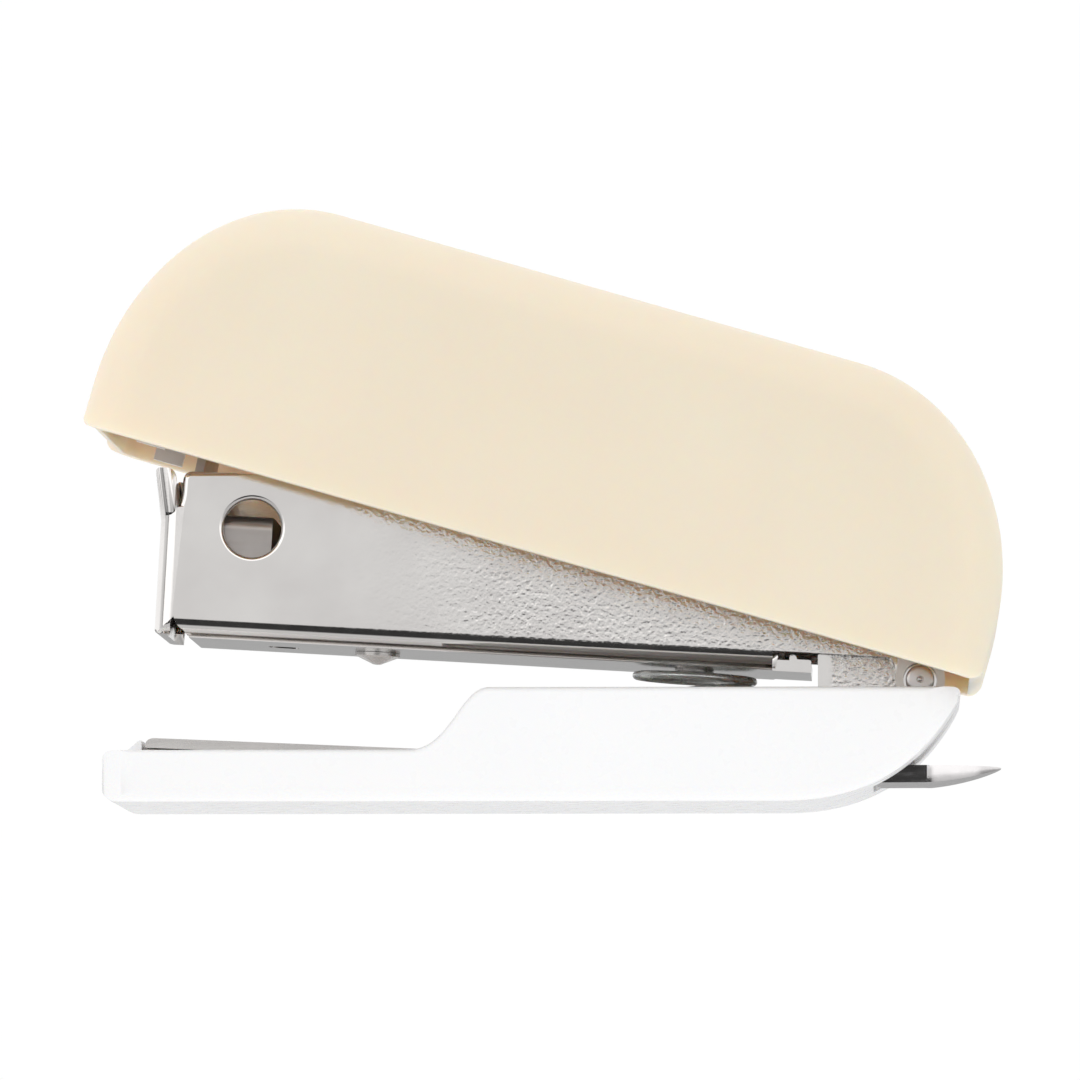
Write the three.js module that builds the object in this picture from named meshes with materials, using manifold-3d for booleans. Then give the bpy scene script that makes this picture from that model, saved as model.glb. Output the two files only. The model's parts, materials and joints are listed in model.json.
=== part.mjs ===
// Mini stapler with a staple remover at its tail.
// Millimetres, +Z up, front (nose) at -X, rear (pivot and remover) at +X, left at -Y.
// The origin is on the surface that the part stands on, below the middle of its length and width.

import * as THREE from 'three';
import { mergeVertices } from 'three/addons/utils/BufferGeometryUtils.js';
import Module from 'manifold-3d';

const wasm = await Module();
wasm.setup();

// ---- Driving dimensions ----

// One pivot carries the magazine and the cover. Both tilt about it, front end up.
const PIVOT = { x: 26.26, z: 8.58 };
const MAGAZINE_TILT = THREE.MathUtils.degToRad(3.3);
const COVER_TILT = THREE.MathUtils.degToRad(16.1);
// The driver blade stands square to the magazine when the cover is pressed home.
const BLADE_SET = THREE.MathUtils.degToRad(4.3);

const BASE = {
  front: -31.04,
  rear: 29.2,
  halfWidth: 11.8,
  wall: 1.6,
  deckZ: 3.6,
  topZ: 7.95,
  floorZ: 1.1,
  cornerR: 2.6,
  footR: 1.3,
};

const PLATE = {
  front: -28.18,
  rear: 19.6,
  halfWidth: 7.0,
  thickness: 0.7,
  anvilX: -27.5,
  anvilZ: 4.64,
  levelX: 10.4,
  levelZ: 3.05,
};

const REMOVER = {
  front: 13.5,
  tip: 32.0,
  halfWidth: 5.0,
  webZ: 1.5,
  flangeZ: 2.76,
  sheet: 0.65,
  flangeFront: 20.5,
  dishX: 26.74,
};

const BRACKET = {
  front: 15.0,
  rear: 22.8,
  outer: 6.7,
  sheet: 0.8,
  floorZ: 3.15,
  topZ: 11.0,
  earFront: 19.1,
  earRear: 28.0,
};
const BRACKET_RIVET = { x: 17.2, y: 3.4, holeR: 0.95 };

const RIVET = { shankR: 0.8, headR: 1.0, headY: 7.95, endY: 9.0, dimpleR: 0.3, dimpleDepth: 0.2 };

const RETURN_SPRING = {
  x: 10.28,
  bottomZ: 3.52,
  topZ: 9.12,
  bottomR: 3.3,
  topR: 4.25,
  wireR: 0.285,
  turns: 4.25,
  flatStart: 0.14,
  flatEnd: 0.24,
};

// Magazine sizes are in its own frame: the origin is the pivot, x runs rearward along the floor.
const MAG = {
  front: -53.95,
  halfWidth: 7.8,
  sheet: 0.8,
  floorZ: 0.2,
  topZ: 11.85,
  lipZ: 12.0,
  bendR: 1.3,
  floorFront: -51.5,
  footRear: -52.8,
  bendRear: -10.4,
  tabRear: -7.7,
  wallRearZ: 1.5,
  lugR: 1.7,
};
const NOTCH = { front: -52.7, rear: -52.5, z: 8.65, lean: THREE.MathUtils.degToRad(10.5) };
const WINDOW = { x: -47.43, z: 8.07, r: 2.04 };

const RAIL = { front: -51.2, rear: -13.0, halfWidth: 5.7, sheet: 0.6, lowZ: 1.3, topZ: 6.75, slot: 0.8 };
const RAIL_RIVET = { front: -38.5, rear: -16.0, holeR: 1.0 };
const ROD = { r: 0.5, z: 3.9, front: -51.0, rear: -12.0, clearance: 0.1 };
const STOP = { front: -12.8, rear: -12.2, footFront: -18.4, halfWidth: 4.6 };
const PUSHER = { front: -51.3, rear: -46.05, halfWidth: 6.65, innerHalf: 5.95, topZ: 9.0, lowZ: 1.8 };
const RUNNER = { front: -50.3, rear: -47.5, halfWidth: 1.7, lowZ: 2.55, topZ: 5.4, neckHalf: 0.55 };
const PUSHER_SPRING = { front: -47.2, rear: -13.05, coilR: 1.3, wireR: 0.2, turns: 15 };

const HANDLE_SPRING = {
  coilR: 1.45,
  wireR: 0.25,
  halfWidth: 2.6,
  turns: 8,
  lowerReach: 9.6,
  upperReach: 12.2,
};

// Cover, lever and blade sizes are in the cover's frame: the origin is the pivot.
const COVER = {
  frontCentre: -48.0,
  rearCentre: -10.1,
  centreZ: 4.0,
  frontReach: 13.35,
  rearReach: 14.25,
  crown: 16.05,
  halfWidth: 13.5,
  wall: 1.4,
  rearWall: 0.85,
  edgeZ: 0.85,
  edgeR: 3.0,
};
const RIB = { front: -45, rear: -13, inner: 5.6, thickness: 1.2, gap: 0.3 };
const SIDE_RIB = { xs: [-44, -16], halfLength: 0.6, inner: 9.2, lowZ: 5.5, topZ: 12 };
const LEVER = {
  front: -57.5,
  halfWidth: 8.9,
  sheet: 0.8,
  roofZ: 12.3,
  tabRear: -55.4,
  tabZ: 0.95,
  skirtZ: 4.6,
  lugR: 1.75,
  holeR: 1.18,
};
const BLADE = { halfWidth: 6.2, thickness: 0.6, tipX: -52.89, tipZ: -3.475, footZ: 11.4, footRear: -46.5 };
const BLADE_RIVET = { x: -49.6, y: 3.2, holeR: 0.85 };

const ROUND = 24;

// ---- Solids ----

// A closed geometry as a manifold-3d solid.
function solid(geometry) {
  const bare = geometry.index ? geometry.toNonIndexed() : geometry.clone();
  bare.deleteAttribute('normal');
  bare.deleteAttribute('uv');
  const merged = mergeVertices(bare, 1e-5);
  return new wasm.Manifold(new wasm.Mesh({
    numProp: 3,
    vertProperties: new Float32Array(merged.attributes.position.array),
    triVerts: new Uint32Array(merged.index.array),
  }));
}

// A manifold-3d solid as a geometry.
function surface(body) {
  const mesh = body.getMesh();
  const geometry = new THREE.BufferGeometry();
  const positions = new Float32Array(mesh.vertProperties);
  geometry.setAttribute('position', new THREE.BufferAttribute(positions, 3));
  geometry.setIndex(new THREE.BufferAttribute(new Uint32Array(mesh.triVerts), 1));
  geometry.computeVertexNormals();
  return geometry;
}

function block(x0, x1, y0, y1, z0, z1) {
  const box = new THREE.BoxGeometry(x1 - x0, y1 - y0, z1 - z0);
  box.translate((x0 + x1) / 2, (y0 + y1) / 2, (z0 + z1) / 2);
  return solid(box);
}

// A side outline, x along the part and z up, drawn out across it from y0 to y1.
function across(shape, y0, y1, curveSegments = 8) {
  const slab = new THREE.ExtrudeGeometry(shape, { depth: y1 - y0, bevelEnabled: false, curveSegments });
  slab.rotateX(Math.PI / 2);
  slab.translate(0, y1, 0);
  return solid(slab);
}

// The same outline as two equal slabs, one on each side.
function bothSides(shape, inner, outer, curveSegments = 8) {
  return across(shape, inner, outer, curveSegments).add(across(shape, -outer, -inner, curveSegments));
}

// A plan outline, x and y, drawn up from z0 to z1.
function upward(shape, z0, z1, curveSegments = 6) {
  const slab = new THREE.ExtrudeGeometry(shape, { depth: z1 - z0, bevelEnabled: false, curveSegments });
  slab.translate(0, 0, z0);
  return solid(slab);
}

// A cross-section, y and z, drawn along the part from x0 to x1.
function along(shape, x0, x1, curveSegments = 4) {
  const slab = new THREE.ExtrudeGeometry(shape, { depth: x1 - x0, bevelEnabled: false, curveSegments });
  const toPart = new THREE.Matrix4().makeBasis(
    new THREE.Vector3(0, 1, 0),
    new THREE.Vector3(0, 0, 1),
    new THREE.Vector3(1, 0, 0),
  );
  slab.applyMatrix4(toPart);
  slab.translate(x0, 0, 0);
  return solid(slab);
}

// A round bar across the part.
function barAcross(x, z, r, y0, y1, sides = ROUND) {
  const bar = new THREE.CylinderGeometry(r, r, y1 - y0, sides);
  bar.translate(x, (y0 + y1) / 2, z);
  return solid(bar);
}

// A round bar along the part.
function barAlong(y, z, r, x0, x1, sides = ROUND) {
  const bar = new THREE.CylinderGeometry(r, r, x1 - x0, sides);
  bar.rotateZ(-Math.PI / 2);
  bar.translate((x0 + x1) / 2, y, z);
  return solid(bar);
}

// A turned piece with an upright axis at x, y. The profile is [radius, z] pairs from bottom to top.
function turned(profile, x, y, sides = ROUND) {
  const lathe = new THREE.LatheGeometry(profile.map(([r, z]) => new THREE.Vector2(r, z)), sides);
  lathe.rotateX(Math.PI / 2);
  lathe.translate(x, y, 0);
  return solid(lathe);
}

// A round hole's tool with an upright axis.
function drill(x, y, r, z0, z1) {
  return turned([[0, z0], [r, z0], [r, z1], [0, z1]], x, y);
}

function polygon(points) {
  return new THREE.Shape(points.map(([a, b]) => new THREE.Vector2(a, b)));
}

// A rectangle whose four corners are rounded.
function roundedRectangle(a0, a1, b0, b1, r) {
  const s = new THREE.Shape();
  s.moveTo(a0 + r, b0);
  s.lineTo(a1 - r, b0);
  s.absarc(a1 - r, b0 + r, r, -Math.PI / 2, 0, false);
  s.lineTo(a1, b1 - r);
  s.absarc(a1 - r, b1 - r, r, 0, Math.PI / 2, false);
  s.lineTo(a0 + r, b1);
  s.absarc(a0 + r, b1 - r, r, Math.PI / 2, Math.PI, false);
  s.lineTo(a0, b0 + r);
  s.absarc(a0 + r, b0 + r, r, Math.PI, 1.5 * Math.PI, false);
  return s;
}

// A path given by a function of 0 to 1.
class Route extends THREE.Curve {
  constructor(at) {
    super();
    this.at = at;
    this.arcLengthDivisions = 4000;
  }

  getPoint(t, target = new THREE.Vector3()) {
    return target.copy(this.at(t));
  }
}

// Round wire along a path.
function wire(at, r, steps, sides) {
  const ring = Array.from({ length: sides }, (_, i) => {
    const turn = (2 * Math.PI * i) / sides;
    return new THREE.Vector2(r * Math.cos(turn), r * Math.sin(turn));
  });
  const extrudePath = new Route(at);
  return solid(new THREE.ExtrudeGeometry(new THREE.Shape(ring), { steps, bevelEnabled: false, extrudePath }));
}

// ---- Base ----

function plateTop(x) {
  const slope = (PLATE.anvilZ - PLATE.levelZ) / (PLATE.levelX - PLATE.anvilX);
  return x > PLATE.levelX ? PLATE.levelZ : PLATE.anvilZ - slope * (x - PLATE.anvilX);
}

function plateUnder(x) {
  return plateTop(x) - PLATE.thickness;
}

// Low front deck, S-shaped step up to the side walls, and a tail that sweeps up from the floor.
function baseOutline() {
  const s = new THREE.Shape();
  s.moveTo(BASE.front + BASE.footR, 0);
  s.lineTo(17, 0);
  s.bezierCurveTo(23.2, 0.1, 26.8, 3.0, 29.05, 7.3);
  s.quadraticCurveTo(29.25, BASE.topZ, 28.5, BASE.topZ);
  s.lineTo(-3.86, BASE.topZ);
  s.bezierCurveTo(-5.8, BASE.topZ, -6.6, BASE.deckZ, -9.4, BASE.deckZ);
  s.lineTo(BASE.front + 0.8, BASE.deckZ);
  s.quadraticCurveTo(BASE.front, BASE.deckZ, BASE.front, BASE.deckZ - 0.8);
  s.lineTo(BASE.front, BASE.footR);
  s.quadraticCurveTo(BASE.front, 0, BASE.front + BASE.footR, 0);
  return s;
}

function troughOutline() {
  const s = new THREE.Shape();
  s.moveTo(-8, BASE.floorZ);
  s.lineTo(18.6, BASE.floorZ);
  s.bezierCurveTo(22.4, 1.7, 25.6, 4.2, 28.0, 7.3);
  s.lineTo(28.45, 9);
  s.lineTo(-8, 9);
  s.closePath();
  return s;
}

function baseShell() {
  const gap = 0.15;
  const inner = BASE.halfWidth - BASE.wall;
  const seat = PLATE.halfWidth + 0.3;
  const plan = roundedRectangle(BASE.front, BASE.rear, -BASE.halfWidth, BASE.halfWidth, BASE.cornerR);
  const recess = polygon([
    [-28.3, plateUnder(-28.3) - gap],
    [-7.5, plateUnder(-7.5) - gap],
    [-7.5, 6],
    [-28.3, 6],
  ]);
  const rib = polygon([
    [-27.6, 3.3],
    [-20.5, 3.3],
    [-20.5, plateUnder(-20.5) - gap],
    [-27.6, plateUnder(-27.6) - gap],
  ]);
  const lip = polygon([[-29.5, 3.4], [-28.4, 3.4], [-28.4, 4.5], [-28.6, 4.5], [-29.5, 3.7]]);
  let shell = across(baseOutline(), -BASE.halfWidth, BASE.halfWidth, 10)
    .intersect(upward(plan, -1, 10))
    .subtract(across(troughOutline(), -inner, inner))
    .subtract(across(recess, -seat, seat))
    .subtract(block(-25.5, -7, -4.8, 4.8, BASE.floorZ, 6))
    .add(bothSides(rib, 5.2, 6.6))
    .add(across(lip, -seat, seat));
  // The slot that the remover leaves by.
  const slotHalf = REMOVER.halfWidth + 0.35;
  shell = shell.subtract(block(20, 31, -slotHalf, slotHalf, 1.25, 3.1));
  for (const side of [-1, 1]) {
    shell = shell.subtract(drill(BRACKET_RIVET.x, side * BRACKET_RIVET.y, 1.7, 0.65, 2));
  }
  return shell;
}

function basePlate() {
  const strip = polygon([
    [PLATE.front, plateUnder(PLATE.front)],
    [PLATE.levelX, plateUnder(PLATE.levelX)],
    [PLATE.rear, plateUnder(PLATE.rear)],
    [PLATE.rear, PLATE.levelZ],
    [PLATE.levelX, PLATE.levelZ],
    [PLATE.anvilX, PLATE.anvilZ],
  ]);
  let plate = across(strip, -PLATE.halfWidth, PLATE.halfWidth);
  // Two shallow hollows that turn the staple's legs inward.
  const groove = { r: 6.5, depth: 0.34, x0: -27.15, x1: -25.95, y: 4.2 };
  for (const side of [-1, 1]) {
    const axisZ = plateTop(groove.x0) + groove.r - groove.depth;
    plate = plate.subtract(barAlong(side * groove.y, axisZ, groove.r, groove.x0, groove.x1, 96));
    plate = plate.subtract(rivetHole(side));
  }
  return plate;
}

// The hole that a bracket rivet goes through, on the left for -1 and on the right for 1.
function rivetHole(side) {
  return drill(BRACKET_RIVET.x, side * BRACKET_RIVET.y, BRACKET_RIVET.holeR, 0, 6);
}

// The tail is a tapered dish: a web with a flange round its edge, so it slides under a staple.
function stapleRemover() {
  const side = new THREE.Shape();
  side.moveTo(REMOVER.front, REMOVER.webZ);
  side.lineTo(27.1, REMOVER.webZ + 0.05);
  side.bezierCurveTo(28.8, 1.7, 30.8, 2.15, REMOVER.tip, 2.66);
  side.lineTo(REMOVER.tip, REMOVER.flangeZ);
  side.lineTo(REMOVER.front, REMOVER.flangeZ);
  side.closePath();
  const plan = (inset) => {
    const half = REMOVER.halfWidth - inset;
    const s = new THREE.Shape();
    s.moveTo(REMOVER.front - 1, -half);
    s.lineTo(REMOVER.dishX, -half);
    s.bezierCurveTo(28.8, -half, REMOVER.tip - inset, -2.6, REMOVER.tip - inset, 0);
    s.bezierCurveTo(REMOVER.tip - inset, 2.6, 28.8, half, REMOVER.dishX, half);
    s.lineTo(REMOVER.front - 1, half);
    s.closePath();
    return s;
  };
  const hollow = new THREE.Shape();
  hollow.moveTo(REMOVER.front - 2, REMOVER.webZ + REMOVER.sheet);
  hollow.lineTo(27.1, REMOVER.webZ + REMOVER.sheet);
  hollow.bezierCurveTo(28.6, 2.3, 29.6, 2.5, 30.4, REMOVER.flangeZ + 0.1);
  hollow.lineTo(REMOVER.front - 2, REMOVER.flangeZ + 0.1);
  hollow.closePath();
  let strip = across(side, -REMOVER.halfWidth, REMOVER.halfWidth)
    .intersect(upward(plan(0), 0, 4, 10))
    .subtract(across(hollow, -6, 6).intersect(upward(plan(REMOVER.sheet), 0, 4, 10)))
    .subtract(block(REMOVER.front - 1, REMOVER.flangeFront, -6, 6, REMOVER.webZ + REMOVER.sheet, 4));
  for (const turn of [-1, 1]) {
    strip = strip.subtract(rivetHole(turn));
  }
  return strip;
}

// A stamped U: a floor on the base plate and two ears that carry the pivot.
function hingeBracket() {
  const ear = new THREE.Shape();
  ear.moveTo(BRACKET.earFront, BRACKET.floorZ);
  ear.lineTo(BRACKET.rear, BRACKET.floorZ);
  ear.bezierCurveTo(24.2, 3.9, 26.2, 6.0, 26.9, 7.5);
  ear.quadraticCurveTo(27.3, 8.3, BRACKET.earRear, 8.4);
  ear.lineTo(BRACKET.earRear, 9.7);
  ear.quadraticCurveTo(BRACKET.earRear, BRACKET.topZ, 26.6, BRACKET.topZ);
  ear.lineTo(20.6, BRACKET.topZ);
  ear.quadraticCurveTo(BRACKET.earFront, BRACKET.topZ, BRACKET.earFront, 9.6);
  ear.closePath();
  const inner = BRACKET.outer - BRACKET.sheet;
  const floorTop = BRACKET.floorZ + BRACKET.sheet;
  let bracket = bothSides(ear, inner, BRACKET.outer, 6)
    .add(block(BRACKET.front, BRACKET.rear, -BRACKET.outer, BRACKET.outer, BRACKET.floorZ, floorTop))
    .subtract(barAcross(PIVOT.x, PIVOT.z, RIVET.shankR + 0.06, -10, 10));
  for (const side of [-1, 1]) {
    bracket = bracket.subtract(rivetHole(side));
  }
  return bracket;
}

function bracketRivet(side) {
  const foot = [[0, 0.8], [1.4, 0.8], [1.4, 1.38], [0.85, 1.38]];
  const head = [[0.85, 4.05], [1.5, 4.05], [1.3, 4.45], [0.7, 4.65], [0, 4.7]];
  return turned([...foot, ...head], BRACKET_RIVET.x, side * BRACKET_RIVET.y);
}

// Its thick ends hold the magazine on the ears, and the lever's arms snap over them.
function pivotRivet() {
  let rivet = barAcross(PIVOT.x, PIVOT.z, RIVET.shankR, -RIVET.endY, RIVET.endY);
  for (const side of [-1, 1]) {
    const ends = [side * RIVET.headY, side * RIVET.endY].sort((a, b) => a - b);
    const dimple = [side * (RIVET.endY - RIVET.dimpleDepth), side * (RIVET.endY + 1)].sort((a, b) => a - b);
    rivet = rivet
      .add(barAcross(PIVOT.x, PIVOT.z, RIVET.headR, ends[0], ends[1]))
      .subtract(barAcross(PIVOT.x, PIVOT.z, RIVET.dimpleR, dimple[0], dimple[1], 12));
  }
  return rivet;
}

function returnSpring() {
  const { bottomZ, topZ, flatStart, flatEnd } = RETURN_SPRING;
  const at = (t) => {
    const turn = 2 * Math.PI * RETURN_SPRING.turns * t;
    const r = THREE.MathUtils.lerp(RETURN_SPRING.bottomR, RETURN_SPRING.topR, t);
    // The end turns lie flat: the first on the plate, the last against the magazine's floor.
    const rise = Math.max(0, t - flatStart) / (1 - flatStart - flatEnd);
    const seat = topZ - r * Math.cos(turn) * Math.tan(MAGAZINE_TILT);
    const z = Math.min(THREE.MathUtils.lerp(bottomZ, topZ, rise), seat);
    return new THREE.Vector3(RETURN_SPRING.x + r * Math.cos(turn), r * Math.sin(turn), z);
  };
  return wire(at, RETURN_SPRING.wireR, 84, 8);
}

// ---- Magazine ----

// A U channel with a front wall, folded from one sheet.
function magazineFrame() {
  const inner = MAG.halfWidth - MAG.sheet;
  const floorTop = MAG.floorZ + MAG.sheet;
  const outerPlan = roundedRectangle(MAG.front, 10, -MAG.halfWidth, MAG.halfWidth, MAG.bendR);
  const innerPlan = roundedRectangle(MAG.front + MAG.sheet, 12, -inner, inner, MAG.bendR - MAG.sheet);
  const outerSection = roundedRectangle(-MAG.halfWidth, MAG.halfWidth, MAG.floorZ, 20, MAG.bendR);
  const innerSection = roundedRectangle(-inner, inner, floorTop, 22, MAG.bendR - MAG.sheet);
  const side = new THREE.Shape();
  side.moveTo(MAG.front - 1, -1);
  side.lineTo(MAG.bendRear, -1);
  side.lineTo(MAG.bendRear, MAG.wallRearZ);
  side.lineTo(-2.4, MAG.wallRearZ);
  side.quadraticCurveTo(-1.7, 1.4, -MAG.lugR, 0);
  side.absarc(0, 0, MAG.lugR, Math.PI, 2 * Math.PI, false);
  side.lineTo(MAG.lugR, 1.2);
  side.lineTo(-9, 9.9);
  side.quadraticCurveTo(-11.4, MAG.topZ, -14, MAG.topZ);
  side.lineTo(NOTCH.rear + 0.5, MAG.topZ);
  side.quadraticCurveTo(NOTCH.rear, MAG.topZ, NOTCH.rear, MAG.topZ - 0.5);
  side.lineTo(NOTCH.rear, NOTCH.z);
  side.lineTo(MAG.front - 1, NOTCH.z);
  side.closePath();
  const channel = (plan, section) => upward(plan, -1, 19).intersect(along(section, MAG.front - 1, 8));
  const sheet = channel(outerPlan, outerSection).subtract(channel(innerPlan, innerSection));
  // The front wall goes on up as a lip that leans forward and guides the blade.
  const lean = Math.tan(NOTCH.lean);
  const lip = upward(outerPlan, NOTCH.z - 0.4, MAG.lipZ)
    .subtract(upward(innerPlan, 0, 20))
    .intersect(block(MAG.front - 1, NOTCH.front, -9, 9, 0, 20))
    .warp((v) => {
      v[0] -= lean * Math.max(0, v[2] - NOTCH.z);
    });
  // Behind the floor's end the walls are flat, and drop round the pivot.
  const walls = bothSides(side, inner, MAG.halfWidth, 6)
    .intersect(block(MAG.bendRear - 2, 5, -9, 9, MAG.wallRearZ, 20).add(block(-3, 5, -9, 9, -3, 3)));
  let frame = sheet
    .intersect(across(side, -9, 9, 6))
    .intersect(block(MAG.front - 1, MAG.bendRear, -9, 9, -1, 20))
    .add(walls)
    .add(lip)
    .add(block(MAG.bendRear - 0.5, MAG.tabRear, -5.5, 5.5, MAG.floorZ, floorTop));
  // The staple leaves between the front wall and the floor.
  frame = frame
    .subtract(block(MAG.front + MAG.sheet, MAG.floorFront, -inner, inner, -1, floorTop + 0.1))
    .subtract(block(MAG.footRear, MAG.floorFront, -9, 9, -1, floorTop + 0.5))
    .subtract(block(MAG.front - 1, MAG.footRear + 0.1, -9, 9, -1, MAG.floorZ + 0.15));
  // The round window is in the left wall only.
  frame = frame
    .subtract(barAcross(WINDOW.x, WINDOW.z, WINDOW.r, -9, 0, 36))
    .subtract(barAcross(0, 0, RIVET.shankR + 0.1, -9, 9))
    .subtract(block(-46.2, -44.1, -0.9, 0.9, -1, floorTop + 0.1));
  for (const x of [RAIL_RIVET.front, RAIL_RIVET.rear]) {
    frame = frame.subtract(drill(x, 0, RAIL_RIVET.holeR, -1, 3));
  }
  return frame;
}

// The staples sit astride this inverted U, and a slot in its roof lets the pusher through.
function stapleRail() {
  const inner = RAIL.halfWidth - RAIL.sheet;
  const roof = RAIL.topZ - RAIL.sheet;
  const footTop = RAIL.lowZ + 0.6;
  const foot = RAIL_RIVET.front;
  return block(RAIL.front, RAIL.rear, -RAIL.halfWidth, RAIL.halfWidth, RAIL.lowZ, RAIL.topZ)
    .subtract(block(RAIL.front + RAIL.sheet, RAIL.rear + 1, -inner, inner, 0, roof))
    .subtract(block(RAIL.front + RAIL.sheet, RAIL.rear - 1.5, -RAIL.slot, RAIL.slot, 0, 9))
    .add(block(foot - 2.2, foot + 2.2, -inner - 0.1, inner + 0.1, RAIL.lowZ, footTop))
    .subtract(drill(foot, 0, RAIL_RIVET.holeR, 0, 3))
    .subtract(barAlong(0, ROD.z, ROD.r + ROD.clearance, RAIL.front - 1, RAIL.front + 2, 16));
}

const RAIL_RIVET_SHANK = [[0.9, 0.18], [0.9, 2.0], [1.5, 2.0], [1.5, 2.15], [0, 2.2]];

function railRivetFront() {
  const head = [[0, -0.65], [0.55, -0.65], [1.6, -0.05], [1.6, 0.18]];
  return turned([...head, ...RAIL_RIVET_SHANK], RAIL_RIVET.front, 0);
}

function railRivetRear() {
  const head = [[0, -0.25], [1.2, -0.25], [1.4, -0.05], [1.4, 0.18]];
  return turned([...head, ...RAIL_RIVET_SHANK], RAIL_RIVET.rear, 0);
}

function guideRod() {
  return barAlong(0, ROD.z, ROD.r, ROD.front, ROD.rear, 12);
}

// An L: the foot lies on the floor and the upright holds the rod and stops the spring.
function rodStop() {
  const footTop = RAIL.lowZ + 0.6;
  return block(STOP.footFront, STOP.rear, -STOP.halfWidth, STOP.halfWidth, RAIL.lowZ, footTop)
    .add(block(STOP.front, STOP.rear, -2.6, 2.6, RAIL.lowZ, 6.3))
    .subtract(barAlong(0, ROD.z, ROD.r + ROD.clearance, STOP.front - 1, STOP.rear + 1, 16))
    .subtract(drill(RAIL_RIVET.rear, 0, RAIL_RIVET.holeR, 0, 3));
}

function pusherSpring() {
  const first = PUSHER_SPRING.front + PUSHER_SPRING.wireR;
  const last = PUSHER_SPRING.rear - PUSHER_SPRING.wireR;
  const at = (t) => {
    const turn = 2 * Math.PI * PUSHER_SPRING.turns * t;
    return new THREE.Vector3(
      THREE.MathUtils.lerp(first, last, t),
      PUSHER_SPRING.coilR * Math.cos(turn),
      ROD.z + PUSHER_SPRING.coilR * Math.sin(turn),
    );
  };
  return wire(at, PUSHER_SPRING.wireR, 180, 5);
}

// A saddle over the rail, joined through the roof's slot to a runner on the rod.
function pusher() {
  const { front, rear, halfWidth, innerHalf, lowZ, topZ } = PUSHER;
  return block(front, rear, -halfWidth, halfWidth, lowZ, topZ)
    .subtract(block(front - 1, rear + 1, -innerHalf, innerHalf, 0, RAIL.topZ + 0.25))
    .add(block(RUNNER.front, RUNNER.rear, -RUNNER.neckHalf, RUNNER.neckHalf, RUNNER.topZ - 0.4, topZ - 0.5))
    .add(block(RUNNER.front, RUNNER.rear, -RUNNER.halfWidth, RUNNER.halfWidth, RUNNER.lowZ, RUNNER.topZ))
    .subtract(barAlong(0, ROD.z, ROD.r + ROD.clearance, front - 1, rear + 1, 16));
}

// A torsion spring round the pivot: one leg on the magazine's floor tab, one under the lever's roof.
function handleSpring() {
  const { coilR, halfWidth, lowerReach, upperReach } = HANDLE_SPRING;
  const exit = THREE.MathUtils.degToRad(197.5);
  const sweep = 2 * Math.PI * HANDLE_SPRING.turns + THREE.MathUtils.degToRad(252.5);
  const coilLength = Math.hypot(sweep * coilR, 2 * halfWidth);
  const total = lowerReach + coilLength + upperReach;
  const at = (t) => {
    const s = t * total;
    if (s < lowerReach) {
      return new THREE.Vector3(s - lowerReach, -halfWidth, coilR);
    }
    if (s < lowerReach + coilLength) {
      const u = (s - lowerReach) / coilLength;
      const turn = Math.PI / 2 - sweep * u;
      return new THREE.Vector3(coilR * Math.cos(turn), halfWidth * (2 * u - 1), coilR * Math.sin(turn));
    }
    const rest = s - lowerReach - coilLength;
    return new THREE.Vector3(
      coilR * Math.cos(exit) + rest * Math.sin(exit),
      halfWidth,
      coilR * Math.sin(exit) - rest * Math.cos(exit),
    );
  };
  return wire(at, HANDLE_SPRING.wireR, 150, 6);
}

// ---- Handle ----

// The cover's side outline: two quarter ellipses joined by a flat crown, open below.
function domeOutline(wall, rearWall, lowZ) {
  const front = COVER.frontReach - wall;
  const rear = COVER.rearReach - rearWall;
  const crown = COVER.crown - wall;
  const s = new THREE.Shape();
  s.moveTo(COVER.frontCentre - front, lowZ);
  s.lineTo(COVER.frontCentre - front, COVER.centreZ);
  s.absellipse(COVER.frontCentre, COVER.centreZ, front, crown, Math.PI, Math.PI / 2, true);
  s.lineTo(COVER.rearCentre, COVER.centreZ + crown);
  s.absellipse(COVER.rearCentre, COVER.centreZ, rear, crown, Math.PI / 2, 0, true);
  s.lineTo(COVER.rearCentre + rear, lowZ);
  s.closePath();
  return s;
}

// That outline made solid, with its long edges rounded.
function dome(wall, rearWall, lowZ, halfWidth, edgeR) {
  const body = new THREE.ExtrudeGeometry(domeOutline(wall, rearWall, lowZ), {
    depth: 2 * (halfWidth - edgeR),
    bevelEnabled: true,
    bevelThickness: edgeR,
    bevelSize: edgeR,
    bevelOffset: -edgeR,
    bevelSegments: 4,
    curveSegments: 7,
  });
  body.rotateX(Math.PI / 2);
  body.translate(0, halfWidth - edgeR, 0);
  return solid(body);
}

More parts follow.
